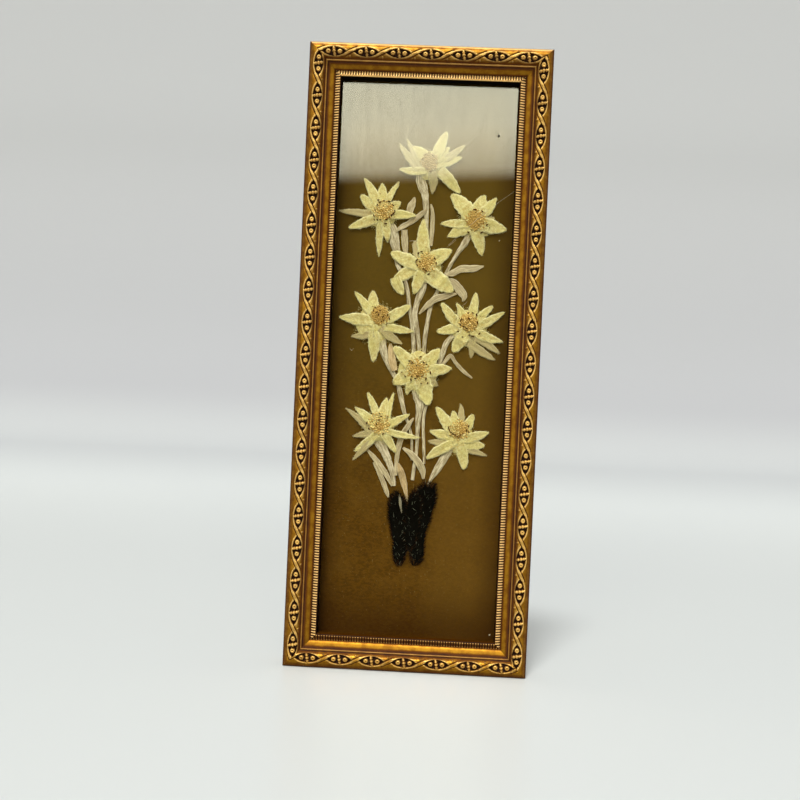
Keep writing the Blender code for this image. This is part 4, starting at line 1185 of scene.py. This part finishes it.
def makeDisc(number, finish):
    # the florets stand in a spiral: floret k lies at radius sqrt(k / count), 137.5 degrees on
    dice = np.random.default_rng(70 + int(number))
    x, z, radius = atDepth(heads[number]["disc"])
    floor = pileUnder(np.array([x]), np.array([z]))[0] - 0.35
    pale = discTones.get(number, 0.0)
    base = domeShell(x, z, radius * 0.9, floor, headShape["discRise"], 1.1, int(number) + 40,
                     tone=max(pale, 0.0))
    count = headShape["florets"]
    k = np.arange(count)
    reach = radius * 0.95 * np.sqrt((k + 0.5) / count)
    spin = k * headShape["goldenAngle"]
    px = x + reach * np.cos(spin) + dice.normal(0, 0.15, count)
    pz = z + reach * np.sin(spin) + dice.normal(0, 0.15, count)
    old = atDepth(specks[number])
    turn = np.arctan2(old[:, 1] - z, old[:, 0] - x) + np.pi / 2 + dice.normal(0, 0.4, len(old))
    dark = -0.5 if pale > 0.4 else -1.0
    few, many = headShape["smallSpecks"], len(old)
    small = x + radius * 1.05 * dice.normal(0, 0.6, few), z + radius * 1.05 * dice.normal(0, 0.6, few)
    shells = [
        base,
        balls(px, pz, pileUnder(px, pz) + 0.05, dice.uniform(0.4, 0.62, count), dice.uniform(1, 1.3, count),
              dice.uniform(0, 3, count), tone=np.maximum(dice.uniform(0, 1, count) + pale, 0)),
        balls(*old.T, pileUnder(*old.T) + 0.35, dice.uniform(0.34, 0.48, many),
              dice.uniform(1.5, 2.8, many), turn, tone=np.full(many, dark)),
        balls(*small, pileUnder(*small) + 0.3, dice.uniform(0.16, 0.28, few), dice.uniform(1, 1.9, few),
              dice.uniform(0, 3, few), tone=np.full(few, dark)),
    ]
    makePiece("florets_" + number, shells, finish, "disc", ["disc_" + number])


makeHeads()
print("heads made")


moss = {
    # the mat's heights above the velvet, its middle line from root to top, how many needles and its outline
    "left": {
        "node": "moss_left",
        "base": (0.15, 0.75),
        "line": (-5.4, 58, -7.6, 99),
        "count": 2600,
        "outline": [
            (-8.8, 100), (-11.8, 96), (-12.7, 91), (-12, 84), (-10.4, 76.3), (-9, 70.3), (-8.8, 64),
            (-8.3, 60.5), (-6.4, 58.6), (-3.8, 58.4), (-2.2, 61), (-1.2, 68), (-0.6, 76), (-0.6, 86),
            (-3, 95.4),
        ],
    },
    "right": {
        "node": "moss_right",
        "base": (0.15, 0.75),
        "line": (3.2, 58, 9, 106),
        "count": 2600,
        "outline": [
            (13.2, 104.6), (13.9, 98), (12.3, 89.6), (9.9, 80.8), (8.2, 73.5), (8.2, 67), (8, 62),
            (5.8, 59.6), (2.6, 58.8), (0.6, 61.4), (-0.3, 70), (-0.3, 84), (0.6, 97.6), (6.2, 105.4),
        ],
    },
    "middle": {
        "node": "moss_middle",
        "base": (0.6, 1.2),
        "line": (0.6, 60, 1.4, 104),
        "count": 1400,
        "outline": [
            (1.6, 102), (-1.6, 97), (-3, 88), (-3.4, 76), (-2.4, 68), (0.4, 66), (3, 68), (4.4, 76),
            (5.4, 85), (6, 95),
        ],
    },
}

# pale needles painted as glints (painted highlights), as (x, z, heading in degrees, length)
mossGlints = [
    (0.5, 92, 70, 1.8), (-2.3, 78.3, 100, 1.4), (-4, 76, 60, 1.2), (1, 90, -50, 2.6),
    (6.9, 87.5, 80, 0.9), (2.2, 77, 75, 0.9), (0.7, 69.5, 120, 1.6), (2, 64, 60, 1.3),
    (-5, 63.5, 110, 1.8), (-8.9, 73.5, 40, 1.2), (-4.6, 81, 100, 1.6), (-3, 72, 50, 1.2),
    (4.2, 67, 20, 1), (6.2, 91.6, 80, 0.8),
]


def insideOutline(x, z, outline):
    # counts the edges that a line to the right of each point crosses
    inside = np.zeros(x.shape, bool)
    for (x1, z1), (x2, z2) in zip(outline, np.roll(outline, -1, axis=0)):
        crosses = (z1 > z) != (z2 > z)
        inside ^= crosses & (x < x1 + (z - z1) * (x2 - x1) / (z2 - z1 + 1e-9))
    return inside


def mossShells(part, seed):
    # a dark mat under needles that lean outwards, the more the farther they grow from the middle line
    dice = np.random.default_rng(seed)
    outline = atDepth(part["outline"])
    closed = curve(np.vstack([outline, outline[:1]]), 6)[:-1]
    centre = closed.mean(0)
    low, high = part["base"]
    rings = []
    for share, height in ((0.8, low), (0.88, (low + high) / 2), (0.74, high)):
        ring = centre + (closed - centre) * share * (1 + 0.03 * dice.normal(0, 1, (len(closed), 1)))
        rings.append(place(ring[:, 0], ring[:, 1], velvetFront + height))
    mat = loft(np.stack(rings), tone=0.0)
    spots = dice.uniform(outline.min(0), outline.max(0), (part["count"] * 3, 2))
    spots = spots[insideOutline(spots[:, 0], spots[:, 1], outline)][:part["count"]]
    x, z = spots.T
    count = len(x)
    rootX, rootZ, topX, topZ = atDepth(part["line"])
    aside = x - rootX - (topX - rootX) * (z - rootZ) / (topZ - rootZ)
    heading = np.arctan2(1.0, aside * 0.3 + dice.normal(0, 0.3, count))
    length = dice.uniform(1.4, 3.0, count)
    x, z = x - np.cos(heading) * length * 0.35, z - np.sin(heading) * length * 0.5
    height = velvetFront + low + (high - low) * dice.uniform(0.2, 1.1, count)
    within = insideOutline(*(centre + (spots - centre) / 0.86).T, outline)
    # a few needles painted pale as glints
    pale = dice.uniform(0, 1, count) < 0.035
    tone = np.where(pale, dice.uniform(0.35, 1.0, count), dice.uniform(0, 0.25, count))
    tone = np.where(~within & (dice.uniform(0, 1, count) < 0.25), -1.0, tone)
    spines = needles(x, z, height, heading, length, dice.uniform(0.16, 0.34, count),
                     dice.uniform(0.1, 0.7, count), dice.normal(0, 0.3, count), tone=tone)
    return [mat, spines]


def mossFinish():
    # near black, a few needles grey-green as painted glints, and those at the edges reddish brown
    paint = Paint("moss")
    tone = paint.value("tone")
    fine = paint.noise(0.5, 2.0)
    colour = paint.mix(fine, (0.001, 0.001, 0.001), (0.004, 0.0035, 0.002))
    colour = paint.mix(paint.step(tone, 0.3, 1.0), colour, (0.13, 0.14, 0.09))
    colour = paint.mix(paint.step(tone, -0.3, -0.8), colour, (0.032, 0.011, 0.003))
    return paint.done(paint.surface(Base_Color=colour, Roughness=0.9, Specular_IOR_Level=0.03,
                                    Normal=paint.bump(fine, 0.05, 0.5)))


def makeMoss():
    finish = mossFinish()
    for k, (name, part) in enumerate(moss.items()):
        shells = mossShells(part, 90 + k)
        if name == "middle":
            # the listed pale needles: painted glints
            x, z, heading, length = np.array(mossGlints, float).T
            x, z = atDepth(np.stack([x, z], axis=1)).T
            plain = np.zeros(len(x))
            height, heading = plain + velvetFront + 1.5, np.radians(heading)
            shells.append(needles(x, z, height, heading, length, plain + 0.32, plain + 0.2, plain + 0.3,
                                  tone=plain + 1.0))
        makePiece("moss_" + name + "_needles", shells, finish, "moss", [part["node"]])


makeMoss()
print("moss made")


def velvetFinish():
    # short brown pile: fine grain, brushed patches and pale flecks of lint; lighter to the right, more
    # olive towards the top, and painted shade near the side lips and the bottom lip
    paint = Paint("velvet")
    grain = paint.noise(0.3, 3.0, 0.7)
    brushed = paint.noise(14.0, 3.0, 0.55)
    fleck = paint.step(paint.noise(1.1, 1.0), 0.68, 0.76)
    colour = paint.mix(paint.step(grain, 0.3, 0.7), (0.078, 0.035, 0.0034), (0.128, 0.058, 0.0062))
    mottle = paint.noise(1.3, 4.0, 0.7, scale=(0.6, 1.0, 1.0))
    colour = paint.mix(paint.step(mottle, 0.42, 0.6, 0.0, 0.8), colour, (0.062, 0.029, 0.0036))
    colour = paint.mix(paint.step(brushed, 0.35, 0.7, 0.0, 0.35), colour, (0.140, 0.070, 0.010))
    colour = paint.mix(fleck * 0.2, colour, (0.34, 0.25, 0.10))
    x, _, z = paint.parts(paint.spot())
    colour = paint.mix(paint.step(x, 0.0, 22.0, 0.0, 0.5), colour, (0.150, 0.078, 0.0115))
    colour = paint.mix(paint.step(z, 60.0, 240.0, 0.0, 0.7), colour, (0.102, 0.067, 0.010))
    # painted shade along the side lips and the bottom lip
    aside = paint.node("ShaderNodeMath", {"operation": "ABSOLUTE"}, {0: x})
    shade = paint.step(aside, 33.0, 50.0) * 0.5
    footShade = paint.step(z, 52.0, 16.0) * 0.7
    colour = paint.mix(shade + footShade - shade * footShade, colour, (0.030, 0.010, 0.0015))
    return paint.done(paint.surface(Base_Color=colour, Roughness=1.0, Specular_IOR_Level=0.0,
                                    Normal=paint.bump(grain, 0.06, 0.5)))


def glassFinish():
    # clear glass, which lets the lamps through
    paint = Paint("glass")
    smear = paint.noise(30.0, 3.0)
    pane = paint.surface(Base_Color=(1.0, 1.0, 1.0), Roughness=smear * 0.004, IOR=1.8,
                         Transmission_Weight=1.0)
    clear = paint.node("ShaderNodeBsdfTransparent", {}, {0: (1.0, 1.0, 0.98, 1.0)})
    shadow = paint.node("ShaderNodeLightPath", out=1)
    return paint.done(paint.blend(shadow, pane, clear))


glassMarks = {
    # thin lines on the glass: width, tone and way
    "scratch": (0.14, 0.8, [(49.1, 266.8), (39.6, 259.6), (29.7, 251.0), (21.0, 242.6), (14.0, 235.8)]),
    "scratchEnd": (0.12, 0.7, [(18.1, 238.9), (15.6, 236.4), (13.2, 234.6)]),
    "short": (0.14, 0.8, [(23.1, 202.5), (24.6, 203.6), (25.8, 205.0)]),
    "fibre": (0.16, 0.9, [(-7.9, 237.0), (-5.9, 237.3), (-3.9, 237.0)]),
    "bentFibre": (0.16, 0.9, [(-38.2, 176.4), (-37.2, 175.2), (-36.9, 175.1), (-36.0, 176.3)]),
    "speck": (1.3, 0.0, [(38.6, 296.6), (39.0, 297.1), (39.3, 297.7)]),
    "paleSpeck": (0.5, 1.0, [(41.8, 239.1), (42.2, 239.5)]),
    "fleck": (0.8, 1.0, [(46.3, 20.6), (46.9, 21.3)]),
}


def makeGlassMarks():
    # each mark is a low ridge that narrows to both ends
    paint = Paint("marks")
    lint = paint.noise(0.6, 2.0)
    colour = paint.mix(paint.value("tone"), (0.03, 0.018, 0.008), (0.50, 0.46, 0.34))
    finish = paint.done(paint.surface(Base_Color=colour, Roughness=0.9, Normal=paint.bump(lint, 0.02, 0.5)))
    shells = []
    for width, tone, way in glassMarks.values():
        x, z = curve(way, 6).T
        half = width / 2 * np.sqrt(np.sin(np.pi * np.linspace(0.06, 0.94, len(x))))
        side = np.array([-1.0, 0.0, 1.0])[None, :]
        height = glassFront + 0.01 + 0.04 * (1 - side ** 2)
        shells.append(loft(place(*beside(x, z, half, side), height), tone=tone))
    makePiece("glass_marks", shells, finish, "glass")


makeGlassMarks()


def boardFinish():
    # grey-brown pulp board with fibres
    paint = Paint("board")
    fibre = paint.noise(1.2, 4.0, 0.7, scale=(0.3, 1.0, 1.0))
    cloud = paint.noise(25.0, 3.0)
    colour = paint.mix(fibre, (0.30, 0.20, 0.11), (0.42, 0.30, 0.18))
    colour = paint.mix(paint.step(cloud, 0.45, 0.75, 0.0, 0.35), colour, (0.22, 0.14, 0.08))
    return paint.done(paint.surface(Base_Color=colour, Roughness=0.9, Normal=paint.bump(fibre, 0.08, 0.6)))


def brassFinish():
    # thin plated brass, dulled in patches and finely scratched
    paint = Paint("brass")
    dull = paint.noise(3.0, 3.0)
    scratch = paint.noise(0.4, 3.0, 0.6, scale=(0.08, 1.0, 1.0))
    colour = paint.mix(paint.step(dull, 0.4, 0.7), (0.70, 0.52, 0.22), (0.45, 0.31, 0.13))
    rough = paint.step(dull, 0.3, 0.8, 0.25, 0.5)
    return paint.done(paint.surface(Base_Color=colour, Metallic=1.0, Roughness=rough,
                                    Normal=paint.bump(scratch, 0.02, 0.5)))


def dressNodes(finishes):
    for name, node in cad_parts.items():
        for part, finish in finishes.items():
            if name.startswith(part):
                node.data.materials.clear()
                node.data.materials.append(finish)


dressNodes({
    "velvet_mount": velvetFinish(),
    "glass_pane": glassFinish(),
    "backing_board": boardFinish(),
    "hanger": brassFinish(),
})
print("velvet, glass, board and hanger finished")
